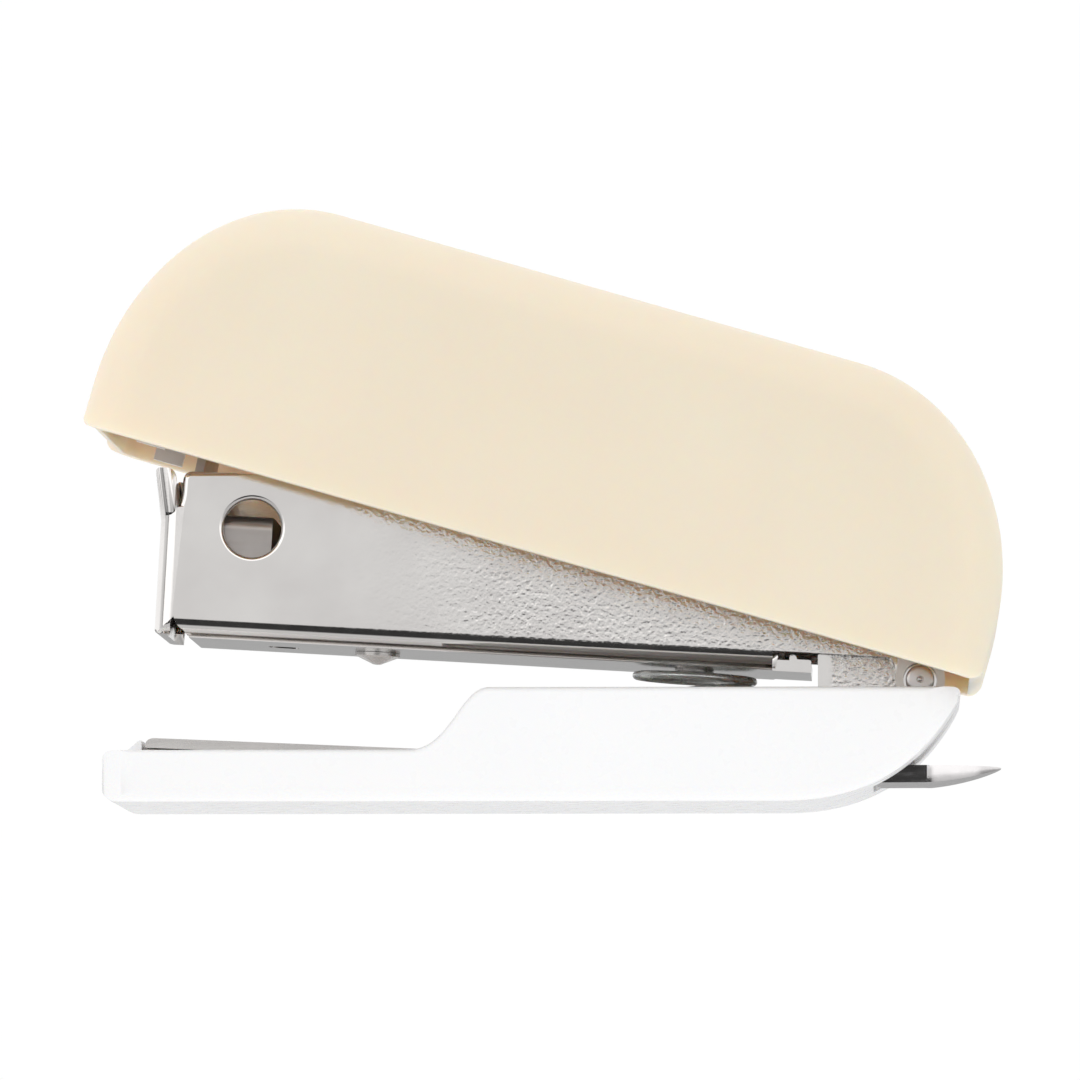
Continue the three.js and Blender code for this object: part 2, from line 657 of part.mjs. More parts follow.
function coverShell() {
  const front = COVER.frontCentre - COVER.frontReach;
  const rear = COVER.rearCentre + COVER.rearReach;
  const trim = new THREE.Shape();
  trim.moveTo(front + 2, COVER.edgeZ);
  trim.quadraticCurveTo(front + 1, COVER.edgeZ, front + 0.4, COVER.edgeZ + 0.08);
  trim.quadraticCurveTo(front, COVER.edgeZ + 0.15, front, COVER.edgeZ + 0.55);
  trim.lineTo(front, 22);
  trim.lineTo(rear, 22);
  trim.lineTo(rear, COVER.edgeZ + 0.9);
  trim.quadraticCurveTo(rear, COVER.edgeZ, rear - 0.9, COVER.edgeZ);
  trim.closePath();
  const inner = COVER.halfWidth - COVER.wall;
  const outside = dome(0, 0, -9, COVER.halfWidth, COVER.edgeR).intersect(across(trim, -15, 15));
  const cavity = dome(COVER.wall, COVER.rearWall, -14, inner, COVER.edgeR - COVER.wall);
  // Two long ribs press on the lever's roof, and four short ones hold it from the sides.
  const ribZ = LEVER.roofZ + LEVER.sheet + RIB.gap;
  const ribOuter = RIB.inner + RIB.thickness;
  let ribs = block(RIB.front, RIB.rear, RIB.inner, ribOuter, ribZ, 21)
    .add(block(RIB.front, RIB.rear, -ribOuter, -RIB.inner, ribZ, 21));
  const { halfLength, inner: ribInner, lowZ, topZ } = SIDE_RIB;
  for (const x of SIDE_RIB.xs) {
    ribs = ribs
      .add(block(x - halfLength, x + halfLength, ribInner, 14, lowZ, topZ))
      .add(block(x - halfLength, x + halfLength, -14, -ribInner, lowZ, topZ));
  }
  return outside.subtract(cavity).add(ribs.intersect(outside));
}

// An inverted U of sheet steel. Its arms reach down to the pivot at the rear.
function pressLever() {
  const roofTop = LEVER.roofZ + LEVER.sheet;
  const side = new THREE.Shape();
  side.moveTo(LEVER.front, LEVER.tabZ);
  side.lineTo(LEVER.tabRear, LEVER.tabZ);
  side.lineTo(LEVER.tabRear, LEVER.skirtZ);
  side.lineTo(-9, LEVER.skirtZ);
  side.quadraticCurveTo(-LEVER.lugR, 3.6, -LEVER.lugR, 0);
  side.absarc(0, 0, LEVER.lugR, Math.PI, 2 * Math.PI + 0.3, false);
  side.lineTo(-2.6, 11.4);
  side.quadraticCurveTo(-3.4, roofTop, -5, roofTop);
  side.lineTo(-54.8, roofTop);
  side.quadraticCurveTo(-56.2, roofTop, -56.6, 11.6);
  side.lineTo(LEVER.front, 7);
  side.closePath();
  const inner = LEVER.halfWidth - LEVER.sheet;
  let lever = across(side, -LEVER.halfWidth, LEVER.halfWidth, 6)
    .subtract(block(-70, 10, -inner, inner, -5, LEVER.roofZ))
    .subtract(barAcross(0, 0, LEVER.holeR, -10, 10));
  for (const y of [-BLADE_RIVET.y, BLADE_RIVET.y]) {
    lever = lever.subtract(drill(BLADE_RIVET.x, y, BLADE_RIVET.holeR, 10, 15));
  }
  return lever;
}

// A thin blade as wide as a staple, bent back at the top where it is riveted to the lever.
function driverBlade() {
  const cos = Math.cos(BLADE_SET);
  const sin = Math.sin(BLADE_SET);
  const footTop = BLADE.footZ + BLADE.thickness;
  const frontAt = (z) => BLADE.tipX - (z - BLADE.tipZ) * Math.tan(BLADE_SET);
  const side = polygon([
    [BLADE.tipX, BLADE.tipZ],
    [BLADE.tipX + BLADE.thickness * cos, BLADE.tipZ + BLADE.thickness * sin],
    [frontAt(BLADE.footZ) + BLADE.thickness / cos, BLADE.footZ],
    [BLADE.footRear, BLADE.footZ],
    [BLADE.footRear, footTop],
    [frontAt(footTop), footTop],
  ]);
  let blade = across(side, -BLADE.halfWidth, BLADE.halfWidth);
  for (const y of [-BLADE_RIVET.y, BLADE_RIVET.y]) {
    blade = blade.subtract(drill(BLADE_RIVET.x, y, BLADE_RIVET.holeR, 10, 15));
  }
  return blade;
}

function bladeRivet(side) {
  const foot = [[0, 10.75], [1.3, 10.85], [1.4, 11.25], [0.75, 11.25]];
  const head = [[0.75, 13.25], [1.4, 13.25], [1.2, 13.6], [0, 13.7]];
  return turned([...foot, ...head], BLADE_RIVET.x, side * BLADE_RIVET.y);
}

// ---- The assembly ----

const FINISH = {
  cover: { color: 0xeedecb, roughness: 0.45, metalness: 0 },
  base: { color: 0xf7f7f7, roughness: 0.25, metalness: 0 },
  chrome: { color: 0xc8c5c2, roughness: 0.2, metalness: 1 },
  steel: { color: 0xb0adaa, roughness: 0.35, metalness: 1 },
  spring: { color: 0xa9abad, roughness: 0.25, metalness: 1 },
};

function piece(name, finish, body) {
  const mesh = new THREE.Mesh(surface(body), new THREE.MeshStandardMaterial(FINISH[finish]));
  mesh.name = name;
  return mesh;
}

// A group whose origin is the pivot, tilted front end up.
function turningGroup(tilt) {
  const group = new THREE.Group();
  group.position.set(PIVOT.x, 0, PIVOT.z);
  group.rotation.y = tilt;
  return group;
}

const base = new THREE.Group();
base.add(
  piece('base_shell', 'base', baseShell()),
  piece('base_plate', 'steel', basePlate()),
  piece('staple_remover', 'chrome', stapleRemover()),
  piece('hinge_bracket', 'chrome', hingeBracket()),
  piece('bracket_rivet_left', 'steel', bracketRivet(-1)),
  piece('bracket_rivet_right', 'steel', bracketRivet(1)),
  piece('pivot_rivet', 'steel', pivotRivet()),
  piece('return_spring', 'spring', returnSpring()),
);

const magazine = turningGroup(MAGAZINE_TILT);
magazine.add(
  piece('magazine_frame', 'chrome', magazineFrame()),
  piece('staple_rail', 'steel', stapleRail()),
  piece('rail_rivet_front', 'steel', railRivetFront()),
  piece('rail_rivet_rear', 'steel', railRivetRear()),
  piece('guide_rod', 'steel', guideRod()),
  piece('rod_stop', 'steel', rodStop()),
  piece('pusher_spring', 'spring', pusherSpring()),
  piece('pusher', 'steel', pusher()),
  piece('handle_spring', 'spring', handleSpring()),
);

const handle = turningGroup(COVER_TILT);
handle.add(
  piece('cover_shell', 'cover', coverShell()),
  piece('press_lever', 'steel', pressLever()),
  piece('driver_blade', 'steel', driverBlade()),
  piece('blade_rivet_left', 'steel', bladeRivet(-1)),
  piece('blade_rivet_right', 'steel', bladeRivet(1)),
);

const stapler = new THREE.Group();
stapler.name = 'stapler';
stapler.add(base, magazine, handle);

export default stapler;
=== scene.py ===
# Fine surfaces and finishes of a mini stapler with a staple remover at its tail.
# Shapes are drawn in millimetres, in the frame of the group that they belong to: the row frame, or the
# magazine's or the cover's, whose origin is the pivot. place() puts them in the row frame, in metres.
import json
import math
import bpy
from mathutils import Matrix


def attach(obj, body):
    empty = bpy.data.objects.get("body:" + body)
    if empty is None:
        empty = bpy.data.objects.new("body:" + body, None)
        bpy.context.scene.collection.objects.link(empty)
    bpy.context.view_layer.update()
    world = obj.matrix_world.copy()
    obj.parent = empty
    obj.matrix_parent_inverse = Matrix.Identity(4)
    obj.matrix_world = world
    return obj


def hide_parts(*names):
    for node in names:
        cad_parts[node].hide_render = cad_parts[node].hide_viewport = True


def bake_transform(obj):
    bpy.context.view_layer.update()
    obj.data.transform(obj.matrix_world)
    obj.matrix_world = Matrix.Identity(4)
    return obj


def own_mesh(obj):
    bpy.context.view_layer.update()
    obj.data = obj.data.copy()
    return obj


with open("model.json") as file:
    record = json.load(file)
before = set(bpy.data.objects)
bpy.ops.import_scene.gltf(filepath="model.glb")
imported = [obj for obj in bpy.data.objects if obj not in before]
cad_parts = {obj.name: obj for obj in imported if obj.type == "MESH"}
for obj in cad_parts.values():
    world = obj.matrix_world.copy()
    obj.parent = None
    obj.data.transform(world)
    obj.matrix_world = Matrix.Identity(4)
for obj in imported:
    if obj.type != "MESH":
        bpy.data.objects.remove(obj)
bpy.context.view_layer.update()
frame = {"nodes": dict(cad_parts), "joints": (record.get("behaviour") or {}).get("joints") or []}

from types import SimpleNamespace as Sizes

import bmesh
import bpy
from mathutils import Matrix, Vector

scene = bpy.context.scene

# ---- Frames ----

MM = 0.001
JOINTS = {joint["name"]: joint for joint in frame["joints"]}
PIVOT = Vector(JOINTS["cover_hinge"]["pos_m"])
SLIDE = Vector(JOINTS["pusher_slide"]["axis"])
MAGAZINE_TILT = math.atan2(-SLIDE.z, SLIDE.x)
COVER_TILT = math.radians(16.1)
ROW = Matrix.Scale(MM, 4)
MAGAZINE = Matrix.Translation(PIVOT) @ Matrix.Rotation(MAGAZINE_TILT, 4, "Y") @ ROW
COVER = Matrix.Translation(PIVOT) @ Matrix.Rotation(COVER_TILT, 4, "Y") @ ROW


def local_box(node, matrix):
    """A CAD node's lowest and highest corner in the frame that matrix gives, in millimetres."""
    back = matrix.inverted()
    points = [back @ vertex.co for vertex in frame["nodes"][node].data.vertices]
    low = Vector([min(p[i] for p in points) for i in range(3)])
    high = Vector([max(p[i] for p in points) for i in range(3)])
    return low, high


# ---- Sizes, in millimetres ----

PIVOT_MM = PIVOT / MM

BASE_LOW, BASE_HIGH = local_box("base_shell", ROW)
BASE = Sizes(wall=1.6, deck=3.6, floor=1.1, corner=2.6, edge=0.45, bottom_edge=1.05, foot=1.3, tail=17)

PLATE_LOW, PLATE_HIGH = local_box("base_plate", ROW)
PLATE = Sizes(thick=0.7, anvil_x=-27.5, level_x=10.4, level_z=3.05)
GROOVE = Sizes(x=-27.15, y=4.2, r=6.5, depth=0.34, length=1.2)

REMOVER_LOW, REMOVER_HIGH = local_box("staple_remover", ROW)
REMOVER = Sizes(sheet=0.65, flange_front=20.5, dish_x=26.74)

BRACKET_LOW, BRACKET_HIGH = local_box("hinge_bracket", ROW)
BRACKET = Sizes(sheet=0.8, ear_front=19.1, floor_rear=22.8, rivet_x=17.2, rivet_y=3.4, hole=0.95)

RIVET = Sizes(shank=0.8, head=1.0, head_y=7.95, end_y=9.0)

RETURN_SPRING = Sizes(
    x=10.28, low_z=3.52, high_z=9.12, low_r=3.3, high_r=4.25, wire=0.285, turns=4.25, low_flat=0.14,
    high_flat=0.24,
)

MAG_HIGH = local_box("magazine_frame", MAGAZINE)[1]
MAG = Sizes(
    front=-53.95, half=MAG_HIGH.y, sheet=0.8, floor=0.2, top=11.85, lip=12.0, bend=1.3,
    floor_front=-51.5, foot_rear=-52.8, bend_rear=-10.4, tab_rear=-7.7, wall_rear_z=1.5, lug=1.7,
)
NOTCH = Sizes(front=-52.85, rear=-52.5, z=8.65, gap=0.22, lean=10.5)
WINDOW = Sizes(x=-47.43, z=8.07, r=2.04)
# Half of a width that clears the magazine on both sides.
WIDE = 9
# The wall's orange peel starts at the first height above the pivot and is full from the second.
PEEL_HEIGHTS = (1.2, 1.7)

RAIL = Sizes(front=-51.2, rear=-13.0, half=5.7, sheet=0.6, low=1.3, top=6.75, slot=0.8)
RAIL_RIVETS = (-38.5, -16.0)
RAIL_HOLE = 1.0
ROD = Sizes(r=0.5, z=3.9, front=-51.0, rear=-12.0)
ROD_HOLE = ROD.r + 0.1
STOP = Sizes(front=-12.8, rear=-12.2, foot=-18.4, half=4.6)
PUSHER = Sizes(front=-51.3, rear=-46.05, half=6.65, top=9.0, low=1.8)
PUSHER_SPRING = Sizes(front=-47.2, rear=-13.05, coil=1.3, wire=0.2, turns=15)
HANDLE_SPRING = Sizes(coil=1.45, wire=0.25, half=2.6, turns=8, lower=9.6, upper=12.2)

COVER_LOW, COVER_HIGH = local_box("cover_shell", COVER)
DOME = Sizes(
    front=-48.0, rear=-10.1, centre=4.0, half=COVER_HIGH.y, wall=1.4, rear_wall=0.85, edge=3.0,
    front_corner=(0.45, 0.5), rear_corner=(0.9, 0.9), nose_run=2, nose_rise=0.12, rear_gap=0.01,
)
LEVER = Sizes(
    front=-57.5, half=8.9, sheet=0.8, roof=12.3, tab_rear=-55.4, tab_z=0.95, skirt=4.6, lug=1.75,
    hole=1.18,
)
BLADE = Sizes(half=6.2, thick=0.6, tip_x=-52.89, tip_z=-3.475, foot=11.4, foot_rear=-46.5, set=4.3)
BLADE_RIVET = Sizes(x=-49.6, y=3.2, hole=0.85)

# Points closer than this become one, in a new solid and after booleans.
WELD, MERGE = 1e-4, 2e-4
# Faces that meet at less than FLAT degrees are joined. round_edges() rounds only edges above SHARP degrees.
FLAT, SHARP = 0.4, 40


# ---- Outlines and solids ----


class Outline:
    """A closed outline drawn as straight lines, bends and arcs."""

    def __init__(self, a, b):
        self.points = [(a, b)]

    def line(self, *points):
        self.points += points
        return self

    def bend(self, corner, end, steps=8):
        return self.curve(
            tuple((s + 2 * c) / 3 for s, c in zip(self.points[-1], corner)),
            tuple((e + 2 * c) / 3 for e, c in zip(end, corner)),
            end,
            steps,
        )

    def curve(self, first, second, end, steps=16):
        corners = (self.points[-1], first, second, end)
        for i in range(1, steps + 1):
            t = i / steps
            s = 1 - t
            weights = (s**3, 3 * s * s * t, 3 * s * t * t, t**3)
            self.points.append(tuple(sum(w * c[k] for w, c in zip(weights, corners)) for k in (0, 1)))
        return self

    def arc(self, centre, radius, start, end, steps=16):
        for i in range(steps + 1):
            turn = math.radians(start + (end - start) * i / steps)
            self.points.append((centre[0] + radius * math.cos(turn), centre[1] + radius * math.sin(turn)))
        return self


def rounded(a0, a1, b0, b1, r, steps=8):
    shape = Outline(a0 + r, b0).line((a1 - r, b0))
    shape.arc((a1 - r, b0 + r), r, -90, 0, steps).arc((a1 - r, b1 - r), r, 0, 90, steps)
    shape.arc((a0 + r, b1 - r), r, 90, 180, steps).arc((a0 + r, b0 + r), r, 180, 270, steps)
    return shape.points


def circle(a, b, r, steps=48):
    return Outline(a + r, b).arc((a, b), r, 360 / steps, 360 - 360 / steps, steps - 2).points


def solid(vertices, faces):
    """A closed mesh object from vertices and faces, its faces turned outwards."""
    mesh = bpy.data.meshes.new("solid")
    mesh.from_pydata(vertices, [], faces)
    shape = bmesh.new()
    shape.from_mesh(mesh)
    bmesh.ops.remove_doubles(shape, verts=shape.verts, dist=WELD)
    bmesh.ops.recalc_face_normals(shape, faces=shape.faces)
    shape.to_mesh(mesh)
    shape.free()
    piece = bpy.data.objects.new("solid", mesh)
    scene.collection.objects.link(piece)
    return piece


def sleeve(rings, count):
    """The faces between stacked rings of count points each."""
    return [
        (k * count + i, k * count + (i + 1) % count, (k + 1) * count + (i + 1) % count, (k + 1) * count + i)
        for k in range(rings - 1)
        for i in range(count)
    ]


def prism(points, low, high, plane):
    """An outline in a plane (xz, xy or yz) drawn out along the third axis."""
    spots = {
        "xz": lambda a, b, t: (a, t, b),
        "xy": lambda a, b, t: (a, b, t),
        "yz": lambda a, b, t: (t, a, b),
    }
    at = spots[plane]
    if isinstance(points, Outline):
        points = points.points
    kept = [p for i, p in enumerate(points) if math.dist(p, points[i - 1]) > 1e-5]
    count = len(kept)
    vertices = [at(a, b, low) for a, b in kept] + [at(a, b, high) for a, b in kept]
    ends = [tuple(range(count)), tuple(range(2 * count - 1, count - 1, -1))]
    return solid(vertices, ends + sleeve(2, count))


def across(points, y0, y1):
    return prism(points, y0, y1, "xz")


def upward(points, z0, z1):
    return prism(points, z0, z1, "xy")


def pillow(points, half, radius, steps=8):
    """An xz outline drawn out across the part. Its rims are rounded by a radius for each point."""
    count = len(points)
    rings = []
    for step in range(-steps, steps + 1):
        turn = math.pi / 2 * max(0, abs(step) - 1) / (steps - 1)
        ring = []
        for i, (x, z) in enumerate(points):
            (ax, az), (bx, bz) = points[i - 1], points[(i + 1) % count]
            out = Vector((bz - az, ax - bx)).normalized()
            r = radius(x, z)
            inset = r * (1 - math.cos(turn))
            y = half - r * (1 - math.sin(turn))
            ring.append((x - out.x * inset, math.copysign(y, step), z - out.y * inset))
        if step:
            rings.append(ring)
    ends = [tuple(range(count)), tuple(range((len(rings) - 1) * count, len(rings) * count))]
    return solid([p for ring in rings for p in ring], ends + sleeve(len(rings), count))


def along(points, x0, x1):
    return prism(points, x0, x1, "yz")


def block(x0, x1, y0, y1, z0, z1):
    return across([(x0, z0), (x1, z0), (x1, z1), (x0, z1)], y0, y1)


def pins(x, y, radius, z0, z1):
    """Two upright pins, right and left, that cut holes."""
    return [upward(circle(x, side * y, radius), z0, z1) for side in (-1, 1)]


def turned(profile, x, y, steps=32):
    """A turned solid with an upright axis. The profile is (radius, z) pairs, from axis to axis."""
    vertices = []
    for r, z in profile:
        for i in range(steps):
            turn = 2 * math.pi * i / steps
            vertices.append((x + r * math.cos(turn), y + r * math.sin(turn), z))
    return solid(vertices, sleeve(len(profile), steps))


def tube(path, radius, sides=12):
    """Round wire along a list of points, closed at both ends."""
    points = [Vector(p) for p in path]
    side = (points[1] - points[0]).orthogonal().normalized()
    vertices = []
    for i, point in enumerate(points):
        ahead = (points[min(i + 1, len(points) - 1)] - points[max(i - 1, 0)]).normalized()
        side = (side - ahead * side.dot(ahead)).normalized()
        up = ahead.cross(side)
        for k in range(sides):
            turn = 2 * math.pi * k / sides
            vertices.append(point + radius * (math.cos(turn) * side + math.sin(turn) * up))
    ends = [tuple(range(sides)), tuple(range(len(vertices) - 1, len(vertices) - sides - 1, -1))]
    return solid(vertices, ends + sleeve(len(points), sides))


def modified(piece, modifier):
    """The piece with its modifier applied."""
    graph = bpy.context.evaluated_depsgraph_get()
    old = piece.data
    piece.data = bpy.data.meshes.new_from_object(piece.evaluated_get(graph))
    piece.modifiers.remove(modifier)
    bpy.data.meshes.remove(old)
    return piece


def combine(piece, others, operation):
    for other in others:
        modifier = piece.modifiers.new("combine", "BOOLEAN")
        modifier.operation = operation
        modifier.solver = "MANIFOLD"
        modifier.object = other
        modified(piece, modifier)
        bpy.data.objects.remove(other)
    return piece


def cut(piece, *others):
    return combine(piece, others, "DIFFERENCE")


def join(piece, *others):
    return combine(piece, others, "UNION")


def common(piece, *others):
    return combine(piece, others, "INTERSECT")


def opened(piece, flat):
    """The piece's mesh for editing, its double points merged and its flat faces joined."""
    shape = bmesh.new()
    shape.from_mesh(piece.data)
    bmesh.ops.remove_doubles(shape, verts=shape.verts, dist=MERGE)
    bmesh.ops.dissolve_limit(shape, angle_limit=math.radians(flat), verts=shape.verts, edges=shape.edges)
    return shape


def closed(shape, piece):
    """Puts an edited mesh back into its piece."""
    shape.to_mesh(piece.data)
    shape.free()
    return piece


def soften(piece, width, segments=2, angle=30, flat=FLAT):
    """Rounds the edges that are sharper than an angle."""
    closed(opened(piece, flat), piece)
    modifier = piece.modifiers.new("edge", "BEVEL")
    modifier.width = width
    modifier.segments = segments
    modifier.limit_method = "ANGLE"
    modifier.angle_limit = math.radians(angle)
    modifier.miter_outer = "MITER_ARC"
    return modified(piece, modifier)


def round_edges(piece, width, segments, chosen):
    """Rounds only the edges whose two ends are both chosen by their place."""
    shape = opened(piece, FLAT)
    edges = [
        edge
        for edge in shape.edges
        if all(chosen(v.co) for v in edge.verts) and edge.calc_face_angle(0) > math.radians(SHARP)
    ]
    bmesh.ops.bevel(shape, geom=edges, offset=width, segments=segments, affect="EDGES", profile=0.5)
    return closed(shape, piece)


def place(piece, node, matrix, body, material, angle=32):
    """Puts a piece in the row frame, in place of its CAD node, and gives it its finish."""
    piece.name = "fine_" + node
    piece.data.name = piece.name
    piece.data.transform(matrix)
    for face in piece.data.polygons:
        face.use_smooth = True
    piece.data.set_sharp_from_angle(angle=math.radians(angle))
    piece.data.materials.clear()
    piece.data.materials.append(material)
    normals = piece.modifiers.new("normals", "WEIGHTED_NORMAL")
    normals.keep_sharp = True
    if body:
        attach(piece, body)
    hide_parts(node)
    return piece


# ---- Finishes ----

# Most of a noise's values lie between these two.
NOISE_LOW, NOISE_HIGH = 0.3, 0.7


def mixed(tree, factor, first, second, kind="MIX"):
    """Two colours mixed. The sockets of a Mix node have one name for every type, so they go by number."""
    node = tree.nodes.new("ShaderNodeMix")
    node.data_type = "RGBA"
    node.blend_type = kind
    for socket, value in ((0, factor), (6, first), (7, second)):
        if isinstance(value, bpy.types.NodeSocket):
            tree.links.new(value, node.inputs[socket])
        else:
            node.inputs[socket].default_value = value
    return node.outputs[2]


class Nodes:
    """Short names for making a material's nodes."""

    def __init__(self, name):
        self.material = bpy.data.materials.new(name)
        self.material.use_nodes = True
        self.tree = self.material.node_tree
        self.shader = self.tree.nodes["Principled BSDF"]
        self.position = self.add("ShaderNodeTexCoord").outputs["Object"]

    def add(self, kind, inputs=None, **settings):
        node = self.tree.nodes.new(kind)
        for key, value in settings.items():
            setattr(node, key, value)
        for key, value in (inputs or {}).items():
            if isinstance(value, bpy.types.NodeSocket):
                self.tree.links.new(value, node.inputs[key])
            else:
                node.inputs[key].default_value = value
        return node

    def noise(self, scale, detail=2.0, roughness=0.5, stretch=(1, 1, 1)):
        """Noise whose cells are about 1/scale metres wide."""
        mapping = self.add("ShaderNodeMapping", {"Vector": self.position, "Scale": stretch})
        inputs = {"Vector": mapping.outputs["Vector"], "Scale": scale}
        inputs |= {"Detail": detail, "Roughness": roughness}
        return self.add("ShaderNodeTexNoise", inputs).outputs["Fac"]

    def span(self, value, low, high, to_low, to_high):
        inputs = {"Value": value, "From Min": low, "From Max": high, "To Min": to_low, "To Max": to_high}
        return self.add("ShaderNodeMapRange", inputs).outputs["Result"]

    def vary(self, noise, low, high):
        """A noise spread over a range."""
        return self.span(noise, NOISE_LOW, NOISE_HIGH, low, high)

    def blend(self, noise, first, second):
        return mixed(self.tree, self.vary(noise, 0, 1), (*first, 1), (*second, 1))

    def bump(self, height, strength, distance, under=None):
        inputs = {"Height": height, "Strength": strength, "Distance": distance}
        if under is not None:
            inputs["Normal"] = under
        return self.add("ShaderNodeBump", inputs).outputs["Normal"]

    def link(self, **sockets):
        for name, value in sockets.items():
            self.tree.links.new(value, self.shader.inputs[name.replace("_", " ")])

    def set(self, **sockets):
        for name, value in sockets.items():
            self.shader.inputs[name.replace("_", " ")].default_value = value


def moulded(name, dark, light, rough, grain, scatter, gloss):
    """Moulded plastic: a faint drift of tone, a fine eroded grain and slow waviness from the mould."""
    n = Nodes(name)
    colour = n.blend(n.noise(scale=45, detail=3), dark, light)
    roughness = n.vary(n.noise(scale=700, detail=3), rough - 0.04, rough + 0.04)
    waves = n.bump(n.noise(scale=60, detail=1), strength=0.12, distance=0.0004)
    specks = n.noise(scale=5200, detail=2, roughness=0.6)
    skin = n.bump(specks, grain, distance=0.00002, under=waves)
    n.link(Base_Color=colour, Roughness=roughness, Normal=skin)
    n.set(IOR=1.5, Specular_IOR_Level=gloss)
    n.set(Subsurface_Weight=scatter, Subsurface_Radius=(1.0, 0.62, 0.34), Subsurface_Scale=0.0032)
    return n.material


def plated(name, peel_from, peel_to, least, most, walls_only=True):
    """Bright plating over sheet steel. Its orange peel grows from peel_from to peel_to along the part."""
    n = Nodes(name)
    x = n.add("ShaderNodeSeparateXYZ", {"Vector": n.position}).outputs["X"]
    amount = n.span(x, peel_from, peel_to, least, most)
    if walls_only:
        # Below the walls, on the bottom bends and the lobes, the plating stays smooth.
        up = MAGAZINE.col[2].xyz / MM
        height = n.add("ShaderNodeVectorMath", {0: n.position, 1: tuple(up)}, operation="DOT_PRODUCT")
        smooth, full = [PIVOT.dot(up) + z * MM for z in PEEL_HEIGHTS]
        wall = n.span(height.outputs["Value"], smooth, full, 0.0, 1.0)
        amount = n.add("ShaderNodeMath", {0: amount, 1: wall}, operation="MULTIPLY").outputs[0]
    peel = n.bump(n.noise(scale=3300, detail=1), amount, distance=0.00006)
    tone = n.blend(n.noise(scale=220, detail=3), (0.79, 0.765, 0.75), (0.86, 0.84, 0.82))
    stain = n.vary(n.noise(scale=1500, detail=3), 0.06, 0.11)
    peel_rough = 0.22
    rough = n.add("ShaderNodeMath", {0: amount, 1: peel_rough, 2: stain}, operation="MULTIPLY_ADD").outputs[0]
    n.set(Metallic=1.0)
    n.link(Base_Color=tone, Roughness=rough, Normal=peel)
    return n.material


def drawn_steel(name, dark, light, rough, stretch, strength=0.25, metal=1.0):
    """Bright steel with the fine lines that rolling or drawing leaves, and faint staining."""
    n = Nodes(name)
    lines = n.noise(scale=2600, detail=3, roughness=0.6, stretch=stretch)
    tone = n.blend(n.noise(scale=160, detail=4, roughness=0.6), dark, light)
    roughness = n.vary(lines, rough - 0.06, rough + 0.08)
    n.set(Metallic=metal)
    n.link(Base_Color=tone, Roughness=roughness, Normal=n.bump(lines, strength, distance=0.00003))
    return n.material


BEIGE = moulded(
    "beige_plastic", (0.805, 0.690, 0.550), (0.828, 0.715, 0.577),
    rough=0.42, grain=0.25, scatter=0.65, gloss=0.5,
)
WHITE = moulded(
    "white_plastic", (0.850, 0.850, 0.855), (0.870, 0.870, 0.874),
    rough=0.29, grain=0.08, scatter=0.06, gloss=0.24,
)
PLATED = plated("plated_sheet", peel_from=-0.016, peel_to=-0.002, least=0.03, most=0.62)
ROUGH_PLATED = plated("plated_rough_sheet", 0.0198, 0.0202, least=0.0, most=0.8, walls_only=False)
# How the lines in the steel are stretched: along the part, or not at all.
ROLLED, EVEN = (0.08, 1, 1), (1, 1, 1)
STEEL = drawn_steel("bright_steel", (0.56, 0.54, 0.53), (0.68, 0.66, 0.64), 0.26, ROLLED)
# Darker steel. On the driver blade its darkness is partly painted shade.
PUSHER_STEEL = drawn_steel("pusher_steel", (0.40, 0.37, 0.355), (0.48, 0.45, 0.43), 0.36, ROLLED)
PEENED = drawn_steel("peened_steel", (0.70, 0.68, 0.67), (0.80, 0.78, 0.77), 0.34, EVEN, 0.2)
POLISHED = drawn_steel("polished_steel", (0.72, 0.70, 0.70), (0.80, 0.78, 0.78), 0.14, (0.2, 1, 1), 0.12)
SATIN = drawn_steel("satin_steel", (0.78, 0.74, 0.70), (0.84, 0.80, 0.76), 0.38, EVEN, 0.1, metal=0.45)
WIRE = drawn_steel("spring_wire", (0.72, 0.75, 0.74), (0.82, 0.84, 0.83), 0.24, (0.5, 0.5, 1), 0.1, 0.85)


# ---- Base ----


def plate_top(x):
    slope = (PLATE_HIGH.z - PLATE.level_z) / (PLATE.level_x - PLATE.anvil_x)
    return max(PLATE.level_z, PLATE_HIGH.z - slope * (x - PLATE.anvil_x))


def base_outline():
    """Low front deck, an S-shaped step up to the side walls, and a tail that sweeps up from the floor."""
    front, top, deck, foot = BASE_LOW.x, BASE_HIGH.z, BASE.deck, BASE.foot
    start, flat, parts = front + foot, BASE.tail - front - foot, 8
    shape = Outline(start, 0).line(*[(start + flat * i / parts, 0) for i in range(1, parts + 1)])
    shape.curve((23.2, 0.1), (26.8, 3.0), (29.05, 7.3), 24).bend((29.25, top), (28.5, top), 6)
    shape.line((-3.86, top)).curve((-5.8, top), (-6.6, deck), (-9.4, deck), 20).line((front + 0.8, deck))
    shape.bend((front, deck), (front, deck - 0.8)).line((front, foot))
    return shape.bend((front, 0), (start, 0))


def base_rounding(x, z):
    """The rims are rounded more along the bottom and up the tail than along the top."""
    least, most = BASE.edge, BASE.bottom_edge
    tail_top, tail_run = 8, 3
    share = 1 - z / BASE.foot if x < BASE.tail else (tail_top - z) / tail_run
    return least + (most - least) * min(1, max(0, share))


